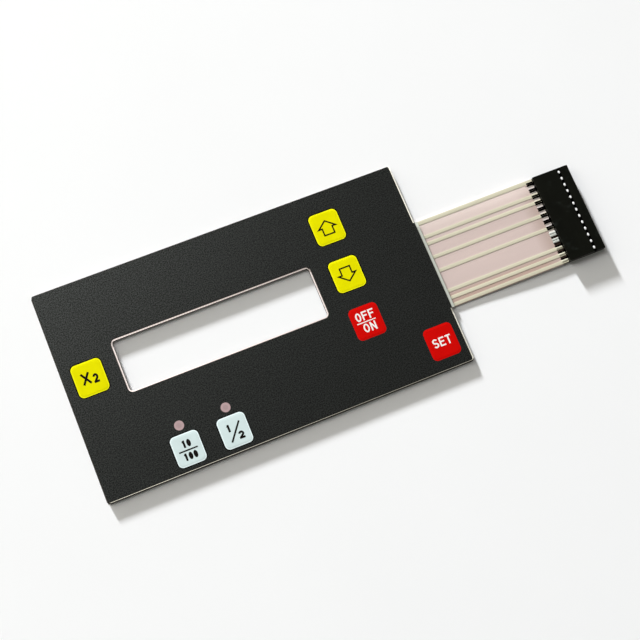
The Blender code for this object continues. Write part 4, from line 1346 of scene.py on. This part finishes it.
def build_light():
    """Low sun, softbox, fill and a room that darkens from the horizon to the zenith."""
    sun = add_light("key_light", "SUN", SUN_AZIMUTH, SUN_ELEVATION, SUN_STRENGTH, SUN_COLOUR)
    sun.angle = math.radians(SUN_DIAMETER)
    add_light("softbox", "AREA", SOFTBOX_AZIMUTH, SOFTBOX_ELEVATION, SOFTBOX_POWER).size = SOFTBOX_SIZE
    add_light("fill", "AREA", FILL_AZIMUTH, FILL_ELEVATION, FILL_POWER, FILL_COLOUR).size = FILL_SIZE

    world = bpy.data.worlds.new("studio")
    world.use_nodes = True
    bpy.context.scene.world = world
    nodes = world.node_tree.nodes
    links = world.node_tree.links
    outlook = nodes.new("ShaderNodeTexCoord")
    split = nodes.new("ShaderNodeSeparateXYZ")
    links.new(outlook.outputs["Generated"], split.inputs["Vector"])
    level = nodes.new("ShaderNodeMapRange")
    level.inputs["From Min"].default_value = 0.0
    level.inputs["From Max"].default_value = 1.0
    level.inputs["To Min"].default_value = HORIZON_LEVEL
    level.inputs["To Max"].default_value = ZENITH_LEVEL
    links.new(split.outputs["Z"], level.inputs["Value"])
    links.new(level.outputs["Result"], nodes["Background"].inputs["Strength"])
    nodes["Background"].inputs["Color"].default_value = (*AMBIENT_COLOUR, 1.0)


def build_camera():
    """Camera at the photograph's angle."""
    scene = bpy.context.scene
    scene.view_settings.view_transform = "Standard"
    data = bpy.data.cameras.new("camera")
    data.lens = CAMERA_LENS
    data.sensor_width = CAMERA_SENSOR
    data.clip_start = CAMERA_NEAR
    data.clip_end = CAMERA_FAR
    camera = bpy.data.objects.new("camera", data)
    camera.location = CAMERA_LOCATION
    camera.rotation_euler = [math.radians(turn) for turn in CAMERA_TURN]
    scene.collection.objects.link(camera)
    scene.camera = camera


class KEYPAD_OT_front_film(bpy.types.Operator):
    """Build the printed front film with its raised keys"""

    bl_idname = "keypad.front_film"
    bl_label = "Front Film"

    def execute(self, context):
        build_front_film()
        return {"FINISHED"}


class KEYPAD_OT_legends(bpy.types.Operator):
    """Print the legends on the keys"""

    bl_idname = "keypad.legends"
    bl_label = "Legends"

    def execute(self, context):
        build_legends()
        return {"FINISHED"}


class KEYPAD_OT_film_layers(bpy.types.Operator):
    """Finish the films, adhesives, tracks and domes of the laminate"""

    bl_idname = "keypad.film_layers"
    bl_label = "Film Layers"

    def execute(self, context):
        build_film_layers()
        return {"FINISHED"}


class KEYPAD_OT_circuit_film(bpy.types.Operator):
    """Finish the circuit film and its tail"""

    bl_idname = "keypad.circuit_film"
    bl_label = "Circuit Film"

    def execute(self, context):
        build_circuit_film()
        return {"FINISHED"}


class KEYPAD_OT_tail_print(bpy.types.Operator):
    """Build the cream strips over the tail's tracks"""

    bl_idname = "keypad.tail_print"
    bl_label = "Tail Print"

    def execute(self, context):
        build_tail_print()
        return {"FINISHED"}


class KEYPAD_OT_contacts(bpy.types.Operator):
    """Build the crimp contacts and their locking dimples"""

    bl_idname = "keypad.contacts"
    bl_label = "Contacts"

    def execute(self, context):
        build_contacts()
        return {"FINISHED"}


class KEYPAD_OT_housing(bpy.types.Operator):
    """Finish the connector's housing"""

    bl_idname = "keypad.housing"
    bl_label = "Housing"

    def execute(self, context):
        build_housing()
        return {"FINISHED"}


class KEYPAD_OT_stage(bpy.types.Operator):
    """Set up the floor, light and camera"""

    bl_idname = "keypad.stage"
    bl_label = "Stage"

    def execute(self, context):
        build_floor()
        build_light()
        build_camera()
        return {"FINISHED"}


class KEYPAD_PT_sidebar(bpy.types.Panel):
    """Lists the sizes, colours and pieces in the sidebar"""

    bl_idname = "KEYPAD_PT_sidebar"
    bl_label = "Membrane Keypad"
    bl_space_type = "VIEW_3D"
    bl_region_type = "UI"
    bl_category = "Keypad"

    def draw(self, context):
        layout = self.layout
        for group in (context.scene.keypad_sizes, context.scene.keypad_colours):
            box = layout.box()
            for name in group.__annotations__:
                box.prop(group, name)
        for operator in OPERATORS:
            layout.operator(operator.bl_idname)


OPERATORS = (
    KEYPAD_OT_front_film,
    KEYPAD_OT_legends,
    KEYPAD_OT_film_layers,
    KEYPAD_OT_circuit_film,
    KEYPAD_OT_tail_print,
    KEYPAD_OT_contacts,
    KEYPAD_OT_housing,
    KEYPAD_OT_stage,
)
CLASSES = (KeypadSizes, KeypadColours, *OPERATORS, KEYPAD_PT_sidebar)


def register():
    """Register the classes and hang their values on the scene."""
    for item in CLASSES:
        bpy.utils.register_class(item)
    bpy.types.Scene.keypad_sizes = PointerProperty(type=KeypadSizes)
    bpy.types.Scene.keypad_colours = PointerProperty(type=KeypadColours)


def unregister():
    """Undo the registration."""
    del bpy.types.Scene.keypad_colours
    del bpy.types.Scene.keypad_sizes
    for item in reversed(CLASSES):
        bpy.utils.unregister_class(item)


def main():
    """Build every piece and the stage."""
    register()
    bpy.ops.keypad.front_film()
    bpy.ops.keypad.legends()
    bpy.ops.keypad.film_layers()
    bpy.ops.keypad.circuit_film()
    bpy.ops.keypad.tail_print()
    bpy.ops.keypad.contacts()
    bpy.ops.keypad.housing()
    bpy.ops.keypad.stage()


if __name__ == "__main__":
    main()
